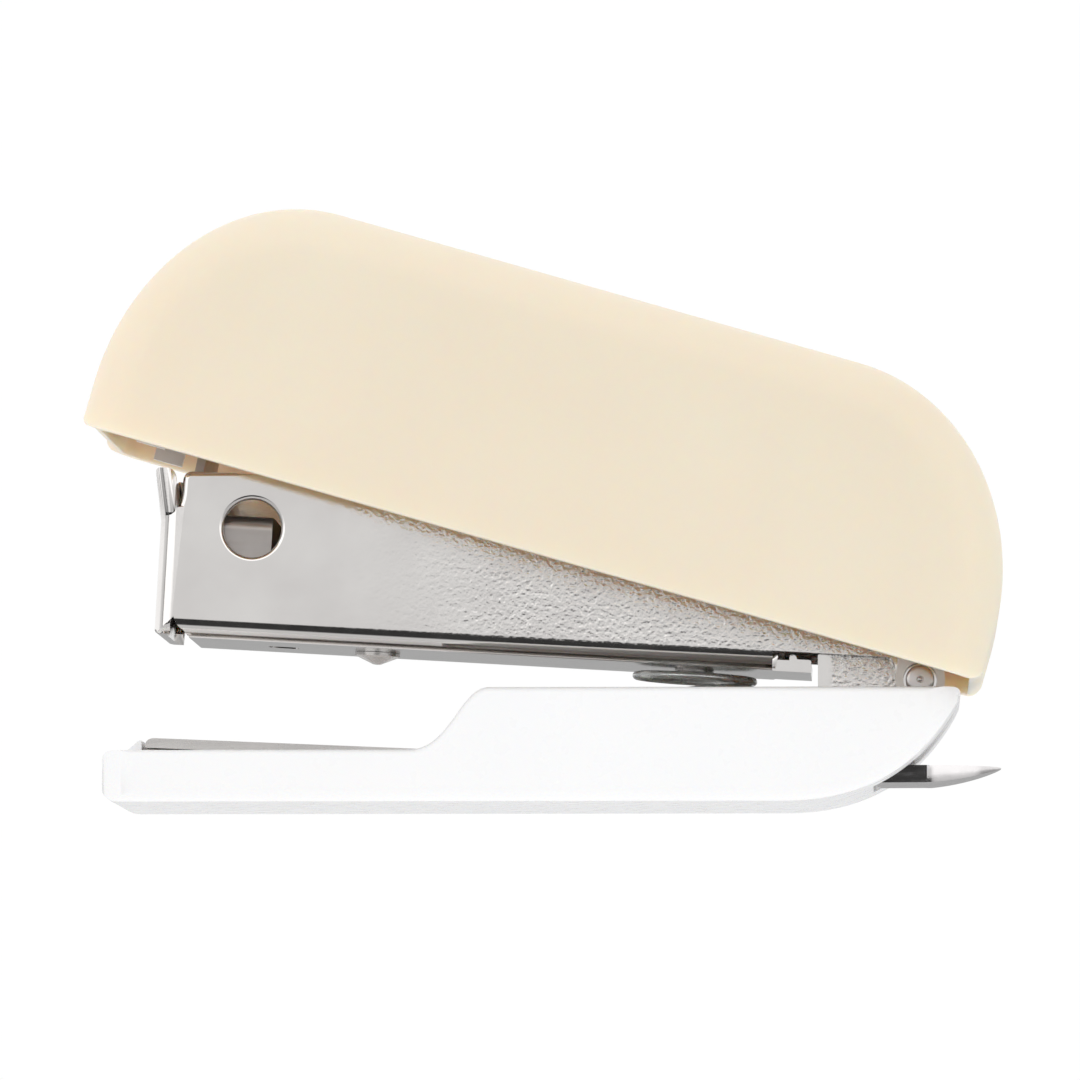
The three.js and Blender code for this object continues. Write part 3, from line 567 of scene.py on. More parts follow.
def base_shell():
    gap = 0.15
    half = BASE_HIGH.y
    seat = PLATE_HIGH.y + 0.3
    floor = BASE.floor
    under = PLATE.thick + gap
    shell = common(
        pillow(base_outline().points[:-1], half, base_rounding),
        upward(rounded(BASE_LOW.x, BASE_HIGH.x, -half, half, BASE.corner, 10), -1, 10),
    )
    soften(shell, BASE.edge, 4, 40, flat=0.0)
    inner = half - BASE.wall
    trough = Outline(-8, floor).line((18.6, floor)).curve((22.4, 1.7), (25.6, 4.2), (28.0, 7.3), 20)
    trough.line((28.45, 9), (-8, 9))
    recess = [(x, plate_top(x) - under) for x in (-28.3, -7.5)] + [(-7.5, 6), (-28.3, 6)]
    cut(
        shell,
        across(trough, -inner, inner),
        across(recess, -seat, seat),
        block(-25.5, -7, -4.8, 4.8, floor, 6),
    )
    rib = [(-27.6, 3.3), (-20.5, 3.3)] + [(x, plate_top(x) - under) for x in (-20.5, -27.6)]
    lip = Outline(-29.5, 3.4).line((-28.4, 3.4), (-28.4, 4.45)).bend((-28.45, 4.5), (-28.6, 4.45), 3)
    lip.line((-29.5, 3.7))
    join(shell, across(rib, 5.2, 6.6), across(rib, -6.6, -5.2), across(lip, -seat, seat))
    slot = REMOVER_HIGH.y + 0.35
    cut(shell, block(20, 31, -slot, slot, 1.25, 3.1))
    cut(shell, *pins(BRACKET.rivet_x, BRACKET.rivet_y, 1.7, 0.65, 2))
    soften(shell, 0.14, 2, 40, flat=0.2)
    place(shell, "base_shell", ROW, "base", WHITE, 40)


def base_plate():
    thick = PLATE.thick
    front, rear = PLATE_LOW.x, PLATE_HIGH.x
    half = PLATE_HIGH.y
    level_x, level_z = PLATE.level_x, PLATE.level_z
    side = Outline(front, plate_top(front) - thick).line((level_x, level_z - thick), (rear, level_z - thick))
    side.line((rear, level_z), (level_x, level_z), (PLATE.anvil_x, PLATE_HIGH.z))
    side.bend((front, PLATE_HIGH.z), (front, plate_top(front) - thick + 0.1))
    plate = across(side, -half, half)
    groove, radius = GROOVE.x, GROOVE.r
    axis_z = plate_top(groove) + radius - GROOVE.depth
    holes = pins(BRACKET.rivet_x, BRACKET.rivet_y, BRACKET.hole, 0, 6)
    for y, hole in zip((-GROOVE.y, GROOVE.y), holes):
        cut(plate, along(circle(y, axis_z, radius, 128), groove, groove + GROOVE.length), hole)
    soften(plate, 0.1, 2)
    place(plate, "base_plate", ROW, "base", STEEL)


def remover_plan(inset):
    tip = REMOVER_HIGH.x - inset
    half = REMOVER_HIGH.y - inset
    front, dish = REMOVER_LOW.x - 1, REMOVER.dish_x
    shape = Outline(front, -half).line((dish, -half)).curve((28.8, -half), (tip, -2.6), (tip, 0), 18)
    return shape.curve((tip, 2.6), (28.8, half), (dish, half), 18).line((front, half))


def staple_remover():
    """A tapered dish: a web with a flange round its edge, so it slides under a staple."""
    front, web, top, half = REMOVER_LOW.x, REMOVER_LOW.z, REMOVER_HIGH.z, REMOVER_HIGH.y
    sheet = REMOVER.sheet
    side = Outline(front, web).line((27.1, web + 0.05))
    side.curve((28.8, web + 0.2), (30.8, web + 0.65), (32.0, top - 0.1)).line((32.0, top), (front, top))
    hollow = Outline(front - 2, web + sheet).line((27.1, web + sheet))
    hollow.curve((28.6, 2.3), (29.6, 2.5), (30.4, top + 0.1)).line((front - 2, top + 0.1))
    strip = common(across(side, REMOVER_LOW.y, REMOVER_HIGH.y), upward(remover_plan(0), 0, 4))
    dish = common(across(hollow, -6, 6), upward(remover_plan(sheet), 0, 4))
    cut(strip, dish, block(front - 1, REMOVER.flange_front, -6, 6, web + sheet, 4))
    cut(strip, *pins(BRACKET.rivet_x, BRACKET.rivet_y, BRACKET.hole, 0, 6))
    # Ahead of the dish the flanges lean out a little.
    lean = [(half - 0.28, web - 0.1), (half + 0.1, web - 0.1), (half + 0.1, top + 0.1), (half, top + 0.1)]
    for turn in (-1, 1):
        cut(strip, along([(turn * y, z) for y, z in lean], REMOVER.flange_front, REMOVER.dish_x))
    soften(strip, 0.13, 3)
    place(strip, "staple_remover", ROW, "base", POLISHED)


def hinge_bracket():
    """A stamped U. A raised rim runs down the front edge of each ear and flares into the floor."""
    low, high, outer = BRACKET_LOW.z, BRACKET_HIGH.z, BRACKET_HIGH.y
    front, rear = BRACKET.ear_front, BRACKET_HIGH.x
    ear = Outline(front, low).line((BRACKET.floor_rear, low)).curve((24.2, 3.9), (26.2, 6.0), (26.9, 7.5))
    ear.bend((27.3, 8.3), (rear, 8.4)).line((rear, 9.7)).bend((rear, high), (26.6, high))
    ear.line((20.6, high)).bend((front, high), (front, 9.6))
    inner = outer - BRACKET.sheet
    bracket = join(
        across(ear, inner, outer),
        across(ear, -outer, -inner),
        block(BRACKET_LOW.x, BRACKET.floor_rear, -outer, outer, low, low + BRACKET.sheet),
    )
    cut(bracket, across(circle(PIVOT_MM.x, PIVOT_MM.z, RIVET.shank + 0.06), -10, 10))
    cut(bracket, *pins(BRACKET.rivet_x, BRACKET.rivet_y, BRACKET.hole, 0, 6))
    rim = Outline(front, low + 0.8).line((21.1, low + 0.8), (21.1, 8.0)).bend((19.85, 8.2), (19.75, 9.1))
    rim.line((19.75, high - 0.1), (front, high - 0.6))
    join(bracket, across(rim, outer - 0.1, outer + 0.16), across(rim, -outer - 0.16, 0.1 - outer))
    soften(bracket, 0.12, 2)
    place(bracket, "hinge_bracket", ROW, "base", ROUGH_PLATED)


def bracket_rivet(name, side):
    profile = [(0, 0.8), (1.25, 0.8), (1.4, 0.95), (1.4, 1.38), (0.85, 1.38), (0.85, 4.05), (1.45, 4.05)]
    profile += [(1.5, 4.15), (1.3, 4.45), (1.0, 4.58), (0.7, 4.65), (0, 4.7)]
    rivet = turned(profile, BRACKET.rivet_x, side * BRACKET.rivet_y)
    place(rivet, name, ROW, "base", STEEL, 50)


def pivot_rivet():
    """Its thick ends hold the magazine on the ears. Each end is peened, with a ring round a dimple."""
    head, end = RIVET.head, RIVET.end_y
    half = [(0, 0), (RIVET.shank, 0), (RIVET.shank, RIVET.head_y), (head, RIVET.head_y)]
    half += [(head, end - 0.2), (head - 0.04, end - 0.09), (head - 0.13, end - 0.02), (head - 0.3, end)]
    ring = [(0.26, 0), (0.24, 0.05), (0.19, 0.09), (0.14, 0.05), (0.1, 0.02), (0, 0.01)]
    half += [(r, end - depth) for r, depth in ring]
    profile = [(r, -z) for r, z in reversed(half[1:])] + half[1:]
    rivet = turned(profile, 0, 0, 48)
    rivet.data.transform(Matrix.Translation(PIVOT_MM) @ Matrix.Rotation(math.radians(90), 4, "X"))
    place(rivet, "pivot_rivet", ROW, "base", PEENED, 40)


def return_spring():
    spring = RETURN_SPRING
    steps = 240
    path = []
    for i in range(steps + 1):
        t = i / steps
        turn = 2 * math.pi * spring.turns * t
        r = spring.low_r + (spring.high_r - spring.low_r) * t
        x = spring.x + r * math.cos(turn)
        # The end turns lie flat: the first on the plate, the last against the magazine's floor.
        rise = max(0.0, t - spring.low_flat) / (1 - spring.low_flat - spring.high_flat)
        seat = spring.high_z - (x - spring.x) * math.tan(MAGAZINE_TILT)
        z = min(spring.low_z + (spring.high_z - spring.low_z) * rise, seat)
        path.append((x, r * math.sin(turn), z))
    coil = place(tube(path, spring.wire, 14), "return_spring", ROW, "base", WIRE)
    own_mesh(coil)


# ---- Magazine ----


def magazine_outline():
    front, top, lug = MAG.front, MAG.top, MAG.lug
    side = Outline(front - 1, -1).line((MAG.bend_rear, -1), (MAG.bend_rear, MAG.wall_rear_z))
    side.line((-2.4, MAG.wall_rear_z)).bend((-1.7, 1.4), (-lug, 0)).arc((0, 0), lug, 180, 360, 24)
    side.line((lug, 1.2), (-9, 9.9)).bend((-11.4, top), (-14, top), 12).line((NOTCH.rear + 0.7, top))
    # The wall's front edge sweeps forward at its foot, into the bend that joins it to the front wall.
    rear, low = NOTCH.rear, NOTCH.z
    side.bend((rear, top), (rear, top - 0.8)).line((rear, 10.6))
    return side.curve((rear, 9.6), (rear - 0.3, low), (rear - 1.0, low), 12).line((front - 1, low))


def channel(plan, section):
    return common(upward(plan, -1, 19), along(section, MAG.front - 1, 8))


def magazine_lip(outer_plan, inner_plan):
    """The front wall goes on up as a lip that leans forward and guides the blade."""
    front, top, r = MAG.front, MAG.lip, 0.7
    rear, low, gap = NOTCH.front, NOTCH.z, NOTCH.gap
    root, ledge = low - 0.4, low + gap
    face = Outline(front - 1, root).line((front + 0.4, root), (front + 0.4, ledge), (rear - 0.3, ledge))
    face.bend((rear, ledge), (rear, ledge + 0.4)).line((rear + 0.35, top - r))
    face.bend((rear + 0.35, top), (rear - 0.15, top)).line((front + 0.35, top))
    face.bend((front, top), (front, top - 0.5), 5).line((front - 1, top - r))
    lip = common(cut(upward(outer_plan, root, top), upward(inner_plan, 0, 20)), across(face, -WIDE, WIDE))
    lean = math.tan(math.radians(NOTCH.lean))
    for vertex in lip.data.vertices:
        vertex.co.x -= lean * max(0, vertex.co.z - low)
    return lip


def magazine_frame():
    half, sheet, floor, bend = MAG.half, MAG.sheet, MAG.floor, MAG.bend
    front = MAG.front
    inner = half - sheet
    floor_top = floor + sheet
    outer_plan = rounded(front, 10, -half, half, bend, 10)
    inner_plan = rounded(front + sheet, 12, -inner, inner, bend - sheet, 6)
    outer_section = rounded(-half, half, floor, 20, bend, 10)
    inner_section = rounded(-inner, inner, floor_top, 22, bend - sheet, 6)
    shell = cut(channel(outer_plan, outer_section), channel(inner_plan, inner_section))
    common(
        shell,
        across(magazine_outline(), -WIDE, WIDE),
        block(front - 1, MAG.bend_rear, -WIDE, WIDE, -1, 20),
    )
    for side in (-1, 1):
        ends = sorted((side * inner, side * half))
        wall = across(magazine_outline(), *ends)
        reach = join(
            block(MAG.bend_rear - 2, 5, -WIDE, WIDE, MAG.wall_rear_z, 20),
            block(-3, 5, -WIDE, WIDE, -3, 3),
        )
        join(shell, common(wall, reach))
    join(
        shell,
        magazine_lip(outer_plan, inner_plan),
        block(MAG.bend_rear - 0.5, MAG.tab_rear, -5.5, 5.5, floor, floor_top),
    )
    # On each side the floor's tab has a small lug folded up, and the bend ends in a short curl ahead of it.
    tab, root = MAG.tab_rear, floor + 0.2
    lug = Outline(-9.25, root).line((tab, root), (tab, 0.95)).bend((tab, 1.1), (tab - 0.2, 1.1), 3)
    lug.line((-8.7, 1.1)).bend((-8.8, 1.45), (-9.05, 1.45), 4).bend((-9.25, 1.45), (-9.25, 1.2), 3)
    curl = Outline(-10.6, root).line((-10.2, root)).arc((-10.3, 1.15), 0.25, 0, 90, 6).line((-10.6, 1.4))
    for side in (-1, 1):
        for fold, near, far in ((lug, 4.9, 5.5), (curl, 5.6, 6.3)):
            join(shell, across(fold, *sorted((side * near, side * far))))
    # The staple leaves between the front wall and the floor. The bend's cut edge sweeps up there in an S.
    foot, edge = MAG.foot_rear, MAG.floor_front
    front_low = floor + 0.15
    mouth = Outline(foot, -1).line((foot, 0.9)).bend((foot, 1.3), (foot + 0.1, 1.5), 4)
    mouth.line((foot + 0.2, 1.6)).bend((-52.4, 1.0), (-52.1, 0.8), 6)
    mouth.bend((-51.6, 0.55), (edge, 0.0), 6).line((edge, -1))
    cut(
        shell,
        block(front + sheet, edge, -inner, inner, -1, floor_top + 0.1),
        across(mouth, -WIDE, WIDE),
        block(front - 1, edge - 0.3, -WIDE, WIDE, -1, front_low),
    )
    cut(
        shell,
        across(circle(WINDOW.x, WINDOW.z, WINDOW.r, 64), -WIDE, 0),
        across(circle(0, 0, RIVET.shank + 0.1), -WIDE, WIDE),
        upward(rounded(-46.2, -44.1, -0.9, 0.9, 0.3), -1, floor_top + 0.1),
        *[upward(circle(x, 0, RAIL_HOLE), -1, 3) for x in RAIL_RIVETS],
    )
    window = Vector((WINDOW.x, WINDOW.z))
    skin, near = half - 0.01, 0.02
    rear_z = MAG.wall_rear_z

    def on_window(p):
        return p.y < -skin and abs((p.xz - window).length - WINDOW.r) < near

    def on_front_edge(p):
        return abs(p.y) > skin and -52.95 < p.x < -51.75 and p.z > 8.9

    def on_rear_edge(p):
        return abs(p.y) > skin and -10.3 < p.x < -2.5 and abs(p.z - rear_z) < near

    def on_front_foot(p):
        return p.x < foot - 0.1 and abs(p.z - front_low) < near

    round_edges(shell, 0.3, 5, on_window)
    round_edges(shell, 0.4, 5, on_front_edge)
    round_edges(shell, 0.4, 5, on_rear_edge)
    round_edges(shell, 0.3, 4, on_front_foot)
    soften(shell, 0.12, 2)
    place(shell, "magazine_frame", MAGAZINE, "magazine", PLATED)


def staple_rail():
    """The staples sit astride this inverted U. A slot in its roof lets the pusher through."""
    inner = RAIL.half - RAIL.sheet
    low, top = RAIL.low, RAIL.top
    foot = RAIL_RIVETS[0]
    front, rear = RAIL.front, RAIL.rear
    rail = along(rounded(-RAIL.half, RAIL.half, low - 2, top, 0.8), front, rear)
    common(rail, block(front, rear, -WIDE, WIDE, low, 9))
    cut(
        rail,
        block(front + RAIL.sheet, rear + 1, -inner, inner, 0, top - RAIL.sheet),
        block(front + RAIL.sheet, rear - 1.5, -RAIL.slot, RAIL.slot, 0, 9),
    )
    join(rail, block(foot - 2.2, foot + 2.2, -inner - 0.1, inner + 0.1, low, low + 0.6))
    cut(
        rail,
        upward(circle(foot, 0, RAIL_HOLE), 0, 3),
        along(circle(0, ROD.z, ROD_HOLE), front - 1, front + 2),
    )
    soften(rail, 0.1, 2)
    place(rail, "staple_rail", MAGAZINE, "magazine", STEEL)


def rail_rivet(name, x, point):
    profile = point + [(0.9, 0.18), (0.9, 2.0), (1.4, 2.0), (1.5, 2.07), (1.4, 2.17), (0, 2.2)]
    place(turned(profile, x, 0), name, MAGAZINE, "magazine", STEEL, 50)


def guide_rod():
    r, front, rear, end = ROD.r, ROD.front, ROD.rear, 0.12
    profile = [(0, front), (r - end, front), (r, front + end), (r, rear - end), (r - end, rear), (0, rear)]
    rod = turned(profile, 0, 0, 24)
    rod.data.transform(Matrix.Translation((0, 0, ROD.z)) @ Matrix.Rotation(math.radians(90), 4, "Y"))
    place(rod, "guide_rod", MAGAZINE, "magazine", STEEL, 50)


def rod_stop():
    """An L: the foot lies on the floor and the upright holds the rod and stops the spring."""
    low = RAIL.low
    stop = join(
        block(STOP.foot, STOP.rear, -STOP.half, STOP.half, low, low + 0.6),
        along(rounded(-2.6, 2.6, low, 6.3, 0.25), STOP.front, STOP.rear),
    )
    cut(
        stop,
        along(circle(0, ROD.z, ROD_HOLE), -14, -11),
        upward(circle(RAIL_RIVETS[1], 0, RAIL_HOLE), 0, 3),
    )
    soften(stop, 0.08, 2)
    place(stop, "rod_stop", MAGAZINE, "magazine", STEEL)


def pusher_spring():
    spring = PUSHER_SPRING
    steps = 28 * spring.turns
    first, last = spring.front + spring.wire, spring.rear - spring.wire
    path = []
    for i in range(steps + 1):
        t = i / steps
        turn = 2 * math.pi * spring.turns * t
        x = first + (last - first) * t
        path.append((x, spring.coil * math.cos(turn), ROD.z + spring.coil * math.sin(turn)))
    coil = place(tube(path, spring.wire, 10), "pusher_spring", MAGAZINE, "magazine", WIRE)
    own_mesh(coil)


def pusher():
    """A saddle over the rail, joined through the roof's slot to a runner on the rod."""
    half, top = PUSHER.half, PUSHER.top
    saddle = along(rounded(-half, half, -2, top, 1.0), PUSHER.front, PUSHER.rear)
    common(saddle, block(-60, -40, -WIDE, WIDE, PUSHER.low, 12))
    cut(saddle, along(rounded(-5.95, 5.95, -4, RAIL.top + 0.25, 0.9), -60, -40))
    join(
        saddle,
        block(-50.3, -47.5, -0.55, 0.55, 5, RAIL.top + 0.5),
        along(rounded(-1.7, 1.7, 2.55, 5.4, 0.4), -50.3, -47.5),
    )
    cut(saddle, along(circle(0, ROD.z, ROD_HOLE), -52, -46))
    soften(saddle, 0.12, 2)
    place(saddle, "pusher", MAGAZINE, "pusher", PUSHER_STEEL)


def handle_spring():
    """A torsion spring round the pivot: one leg on the magazine's floor tab, one under the lever's roof."""
    spring = HANDLE_SPRING
    coil, half = spring.coil, spring.half
    leave = math.radians(197.5)
    sweep = 2 * math.pi * spring.turns + math.radians(252.5)
    lower_steps, coil_steps, upper_steps = 12, 300, 16
    path = [(-spring.lower * (1 - i / lower_steps), -half, coil) for i in range(lower_steps)]
    for i in range(coil_steps + 1):
        u = i / coil_steps
        turn = math.pi / 2 - sweep * u
        path.append((coil * math.cos(turn), half * (2 * u - 1), coil * math.sin(turn)))
    for i in range(1, upper_steps + 1):
        reach = spring.upper * i / upper_steps
        x = coil * math.cos(leave) + reach * math.sin(leave)
        path.append((x, half, coil * math.sin(leave) - reach * math.cos(leave)))
    wire = place(tube(path, spring.wire, 10), "handle_spring", MAGAZINE, None, WIRE)
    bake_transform(wire)


# ---- Handle ----


def cover_rim(x):
    """Height of the cover's lower edge, whose front and rear corners are rounded."""
    front, rear = x - COVER_LOW.x, COVER_HIGH.x - x
    height = COVER_LOW.z + DOME.nose_rise * max(0, 1 - front / DOME.nose_run) ** 2
    for inward, (reach, rise) in ((front, DOME.front_corner), (rear, DOME.rear_corner)):
        share = 1 - min(reach, max(0, inward)) / reach
        height += rise * (1 - math.sqrt(1 - share * share))
    return height


def cover_stations(front_wall, rear_wall):
    """Points and outward directions along the side outline, with how far up the end wall each is."""
    rear = COVER_HIGH.x - DOME.rear_gap
    reach = (DOME.front - COVER_LOW.x - front_wall, rear - DOME.rear - rear_wall)
    crown = COVER_HIGH.z - DOME.centre - front_wall
    climbs, steps, flat_steps = 4, 36, 14
    stations = [(DOME.front - reach[0], DOME.centre, -1, 0, f / climbs) for f in range(climbs)]
    for centre, size, start in ((DOME.front, reach[0], 180), (DOME.rear, reach[1], 90)):
        for i in range(steps + 1):
            turn = math.radians(start - 90 * i / steps)
            c, s = math.cos(turn), math.sin(turn)
            normal = Vector((c / size, s / crown)).normalized()
            stations.append((centre + size * c, DOME.centre + crown * s, normal.x, normal.y, 1))
        if start == 180:
            flat = DOME.rear - DOME.front
            for i in range(1, flat_steps):
                stations.append((DOME.front + flat * i / flat_steps, DOME.centre + crown, 0, 1, 1))
    end = DOME.rear + reach[1]
    return stations + [(end, DOME.centre, 1, 0, f / climbs) for f in range(climbs - 1, -1, -1)]


def cover_skin(front_wall, rear_wall, half, edge):
    """One skin of the cover: a grid from front to rear, each row running from rim to rim over the top."""
    rows = []
    stations = cover_stations(front_wall, rear_wall)
    first, last = stations[0][0] + edge, stations[-1][0] - edge
    panel, fillet, roof = 8, 9, 8
    for index, (x, z, nx, nz, climb) in enumerate(stations):
        right = []
        foot = first + (last - first) * index / (len(stations) - 1)
        for i in range(fillet, -1, -1):
            turn = math.pi / 2 * i / fillet
            inset = edge * (1 - math.cos(turn))
            px, pz = x - nx * inset, z - nz * inset
            if climb < 1:
                pz = cover_rim(px) + (DOME.centre - cover_rim(px)) * climb
            right.append((px, half - edge + edge * math.sin(turn), pz))
        top = right[0]
        low = cover_rim(foot)
        down = [
            (foot + (top[0] - foot) * i / panel, half, low + (top[2] - low) * i / panel) for i in range(panel)
        ]
        right = down + right
        middle = [(right[-1][0], (half - edge) * (1 - 2 * i / roof), right[-1][2]) for i in range(1, roof)]
        left = [(px, -py, pz) for px, py, pz in reversed(right)]
        rows.append(right + middle + left)
    return rows


def cover_shell():
    wall = DOME.wall
    outer = cover_skin(0, 0, DOME.half, DOME.edge)
    inner = cover_skin(wall, DOME.rear_wall, DOME.half - wall, DOME.edge - wall)
    rows, columns = len(outer), len(outer[0])
    size = rows * columns
    vertices = [p for row in outer for p in row] + [p for row in inner for p in row]
    faces = []
    for i in range(rows - 1):
        for j in range(columns - 1):
            here, after = i * columns + j, (i + 1) * columns + j
            corners = (here, here + 1, after + 1, after)
            faces.append(corners)
            faces.append(tuple(size + c for c in reversed(corners)))
    rim = list(range(columns)) + [i * columns + columns - 1 for i in range(1, rows)]
    rim += [(rows - 1) * columns + j for j in range(columns - 2, -1, -1)]
    rim += [i * columns for i in range(rows - 2, 0, -1)]
    for a, b in zip(rim, rim[1:] + rim[:1]):
        faces.append((a, b, size + b, size + a))
    shell = solid(vertices, faces)
    soften(shell, 0.22, 3, 40, flat=0.0)
    roof = LEVER.roof + LEVER.sheet + 0.3
    bars = [block(-45, -13, y, y + 1.2, roof, 19.2) for y in (-6.8, 5.6)]
    for x in (-44.6, -16.6):
        bars += [block(x, x + 1.2, y, y + 3.6, 5.5, 12) for y in (-12.8, 9.2)]
    join(shell, *bars)
    place(shell, "cover_shell", COVER, "handle", BEIGE, 40)


def press_lever():
    """An inverted U of sheet steel. Its arms reach down to the pivot at the rear."""
    front, half, sheet = LEVER.front, LEVER.half, LEVER.sheet
    roof_top = LEVER.roof + sheet
    skirt, lug = LEVER.skirt, LEVER.lug
    tab_rear, tab_z = LEVER.tab_rear, LEVER.tab_z
    side = Outline(front, tab_z).line((tab_rear, tab_z), (tab_rear, skirt))
    side.line((-9, skirt)).bend((-lug, 3.6), (-lug, 0), 12).arc((0, 0), lug, 180, 377, 28)
    side.line((-2.6, 11.4)).bend((-3.4, roof_top), (-5, roof_top)).line((-54.8, roof_top))
    side.bend((-56.2, roof_top), (-56.6, 11.6)).line((front, 7))
    lever = common(
        across(side, -half, half),
        along(rounded(-half, half, -20, roof_top, 1.3, 10), -70, 10),
    )
    cut(
        lever,
        along(rounded(sheet - half, half - sheet, -22, LEVER.roof, 0.5), -70, 10),
        across(circle(0, 0, LEVER.hole), -10, 10),
    )
    cut(lever, *pins(BLADE_RIVET.x, BLADE_RIVET.y, BLADE_RIVET.hole, 10, 15))
    soften(lever, 0.12, 2)
    place(lever, "press_lever", COVER, "handle", SATIN)


def driver_blade():
    """A thin blade as wide as a staple, bent back at the top where it is riveted to the lever."""
    lean = math.radians(BLADE.set)
    thick, tip_x, tip_z, foot = BLADE.thick, BLADE.tip_x, BLADE.tip_z, BLADE.foot
    foot_top = foot + thick

    def face(z):
        return tip_x - (z - tip_z) * math.tan(lean)

    side = Outline(tip_x, tip_z).line((tip_x + thick * math.cos(lean), tip_z + thick * math.sin(lean)))
    side.line((face(foot - 0.5) + thick / math.cos(lean), foot - 0.5))
    side.bend((face(foot) + thick / math.cos(lean), foot), (face(foot) + thick + 0.6, foot))
    side.line((BLADE.foot_rear, foot), (BLADE.foot_rear, foot_top), (face(foot_top) + 1.1, foot_top))
    side.bend((face(foot_top), foot_top), (face(foot_top - 1.1), foot_top - 1.1))
    blade = across(side, -BLADE.half, BLADE.half)
    cut(blade, *pins(BLADE_RIVET.x, BLADE_RIVET.y, BLADE_RIVET.hole, 10, 15))
    soften(blade, 0.06, 2)
    # The blade takes the darker pusher steel: partly the blade's own darker steel, partly painted shade for
    # the shade it lies in under the cover.
    place(blade, "driver_blade", COVER, "handle", PUSHER_STEEL)


def blade_rivet(name, side):
    profile = [(0, 10.75), (1.1, 10.8), (1.3, 10.9), (1.4, 11.25), (0.75, 11.25), (0.75, 13.25)]
    profile += [(1.4, 13.25), (1.35, 13.45), (1.2, 13.6), (0.9, 13.68), (0, 13.7)]
    rivet = turned(profile, BLADE_RIVET.x, side * BLADE_RIVET.y)
    place(rivet, name, COVER, "handle", STEEL, 50)


# ---- The stage ----


def camera():
    eye = Vector((0.0248264, -0.7429153, -0.0305329))
    target = Vector((-0.000645, 0, 0.018995))
    lens = bpy.data.cameras.new("camera")
    lens.sensor_width = 36
    lens.lens = 350
    lens.clip_start = 0.01
    view = bpy.data.objects.new("camera", lens)
    view.location = eye
    view.rotation_euler = (target - eye).to_track_quat("-Z", "Y").to_euler()
    scene.collection.objects.link(view)
    scene.camera = view


def floor():
    """A pale floor that shows from above only, so that a low camera sees the part against the backdrop."""
    mesh = bpy.data.meshes.new("floor")
    reach, drop = 1.5, -0.0002
    corners = [(-reach, -reach), (reach, -reach), (reach, reach), (-reach, reach)]
    mesh.from_pydata([(x, y, drop) for x, y in corners], [], [(0, 1, 2, 3)])
    stage = bpy.data.objects.new("floor", mesh)
    scene.collection.objects.link(stage)
    n = Nodes("pale_floor")
    n.set(Base_Color=(0.9, 0.9, 0.9, 1), Roughness=0.9)
    clear = n.add("ShaderNodeBsdfTransparent").outputs[0]
    seen = n.add("ShaderNodeLightPath").outputs["Is Camera Ray"]
    behind = n.add("ShaderNodeNewGeometry").outputs["Backfacing"]
    shown = n.add("ShaderNodeMath", {0: seen, 1: behind}, operation="SUBTRACT", use_clamp=True).outputs[0]
    mix = n.add("ShaderNodeMixShader", {0: shown, 1: clear, 2: n.shader.outputs[0]})
    n.tree.links.new(mix.outputs[0], n.tree.nodes["Material Output"].inputs["Surface"])
    mesh.materials.append(n.material)


def ramp(tree, value, stops):
    """A grey ramp over a value from -1 to 1."""
    spread = tree.nodes.new("ShaderNodeMapRange")
    spread.inputs["From Min"].default_value = -1
    tree.links.new(value, spread.inputs["Value"])
    node = tree.nodes.new("ShaderNodeValToRGB")
    elements = node.color_ramp.elements
    while len(elements) < len(stops):
        elements.new(0.5)
    for element, (spot, grey) in zip(elements, stops):
        element.position = (spot + 1) / 2
        element.color = (grey, grey, grey, 1)
    tree.links.new(spread.outputs["Result"], node.inputs["Fac"])
    return node.outputs["Color"]


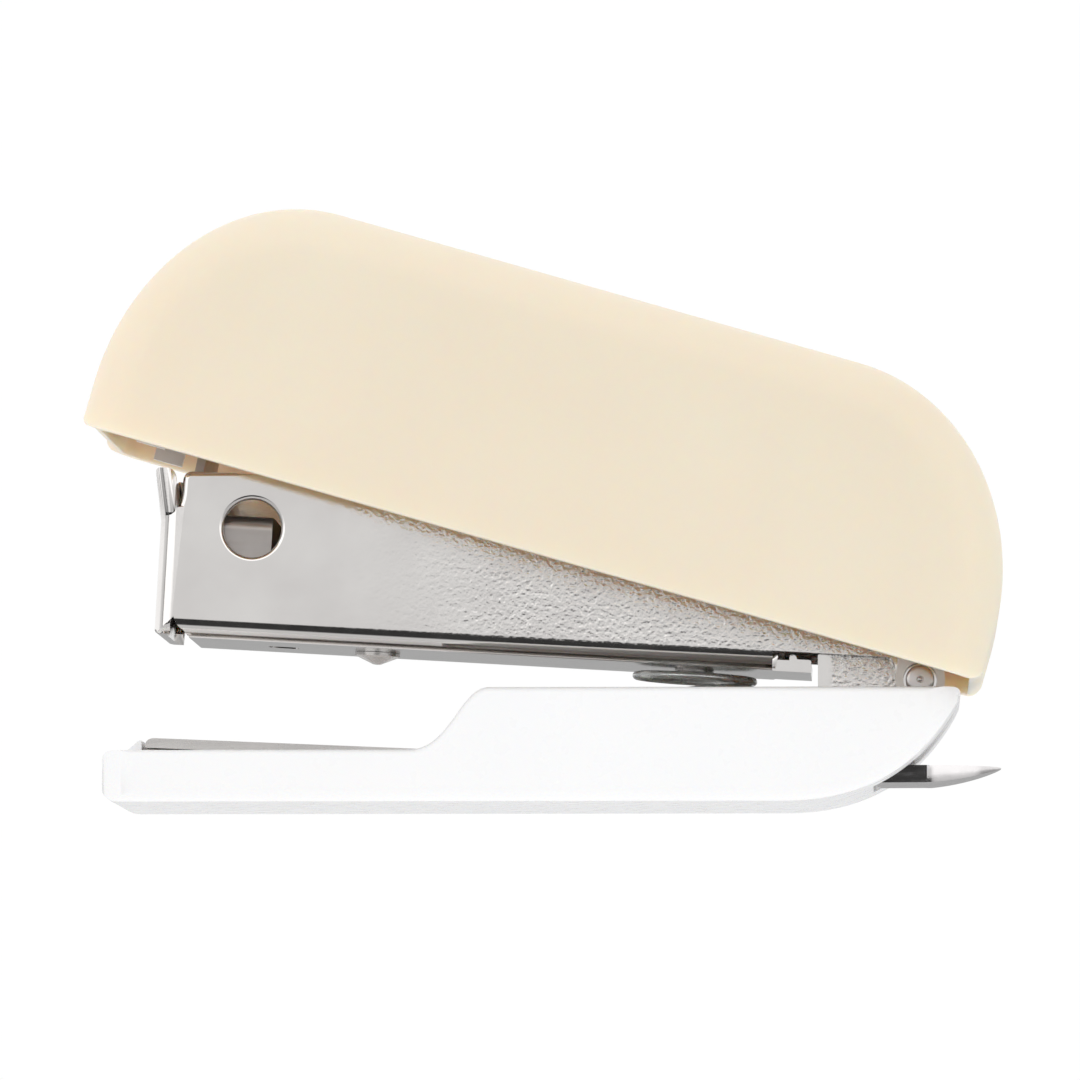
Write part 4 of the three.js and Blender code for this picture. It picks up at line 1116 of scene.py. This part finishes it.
def studio():
    """A room that the camera sees as plain white. It lights matt surfaces softly from all round, and what
    shines reflects softboxes and darker strips, which differ ahead of the part, beside it and behind it."""
    world = bpy.data.worlds.new("studio")
    scene.world = world
    world.use_nodes = True
    tree = world.node_tree
    background = tree.nodes["Background"]
    direction = tree.nodes.new("ShaderNodeTexCoord").outputs["Generated"]
    split = tree.nodes.new("ShaderNodeSeparateXYZ")
    tree.links.new(direction, split.inputs[0])
    x, y, z = split.outputs
    below = [(-0.95, 0.5), (-0.72, 0.55), (-0.62, 0.03), (-0.11, 0.03)]
    ahead = ramp(tree, z, below + [(-0.05, 0.63), (0.2, 0.65), (0.3, 1.15)])
    beside = ramp(tree, z, [(-0.9, 0.50), (-0.3, 0.42), (-0.05, 0.70), (0.05, 1.1), (0.9, 1.15)])
    below = [(-0.97, 0.80), (-0.3, 0.66), (-0.15, 0.26)]
    behind = ramp(tree, z, below + [(0.0, 0.38), (0.08, 0.90), (0.9, 1.05)])
    apart = tree.nodes.new("ShaderNodeMath")
    apart.operation = "ABSOLUTE"
    tree.links.new(x, apart.inputs[0])
    sector = ramp(tree, apart.outputs[0], [(0.0, 0), (0.16, 0), (0.3, 1)])
    front_height = mixed(tree, sector, ahead, beside)
    sideways = ramp(tree, x, [(-0.95, 0.5), (-0.93, 0.12), (-0.89, 1.0)])
    front = mixed(tree, 1.0, front_height, sideways, "MULTIPLY")
    blur = 0.12
    farther = tree.nodes.new("ShaderNodeMapRange")
    farther.inputs["From Min"].default_value = -blur
    farther.inputs["From Max"].default_value = blur
    tree.links.new(y, farther.inputs["Value"])
    shine = mixed(tree, farther.outputs["Result"], front, behind)
    path = tree.nodes.new("ShaderNodeLightPath")
    soft = ramp(tree, z, [(-1.0, 1.07), (0.0, 0.88), (1.0, 0.92)])
    lit = mixed(tree, path.outputs["Is Glossy Ray"], soft, shine)
    backdrop, strength = (0.86, 0.86, 0.86, 1), 1.17
    final = mixed(tree, path.outputs["Is Camera Ray"], lit, backdrop)
    tree.links.new(final, background.inputs["Color"])
    background.inputs["Strength"].default_value = strength


def lamp(name, spot, aim, size, power):
    light = bpy.data.lights.new(name, "AREA")
    light.shape = "DISK"
    light.size = size
    light.energy = power
    holder = bpy.data.objects.new(name, light)
    holder.location = spot
    holder.rotation_euler = (Vector(aim) - Vector(spot)).to_track_quat("-Z", "Y").to_euler()
    holder.visible_camera = False
    holder.visible_glossy = False
    scene.collection.objects.link(holder)


camera()
floor()
studio()
lamp("key", spot=(-0.35, -0.45, 0.45), aim=(0, 0, 0.02), size=0.35, power=0.35)
scene.view_settings.view_transform = "Standard"

base_shell()
base_plate()
staple_remover()
hinge_bracket()
bracket_rivet("bracket_rivet_left", -1)
bracket_rivet("bracket_rivet_right", 1)
pivot_rivet()
return_spring()
magazine_frame()
staple_rail()
pointed = [(0, -0.65), (0.3, -0.62), (0.55, -0.5), (1.6, -0.05), (1.6, 0.18)]
flat_headed = [(0, -0.25), (1.1, -0.25), (1.3, -0.15), (1.4, -0.05), (1.4, 0.18)]
rail_rivet("rail_rivet_front", RAIL_RIVETS[0], pointed)
rail_rivet("rail_rivet_rear", RAIL_RIVETS[1], flat_headed)
guide_rod()
rod_stop()
pusher_spring()
pusher()
handle_spring()
cover_shell()
press_lever()
driver_blade()
blade_rivet("blade_rivet_left", -1)
blade_rivet("blade_rivet_right", 1)
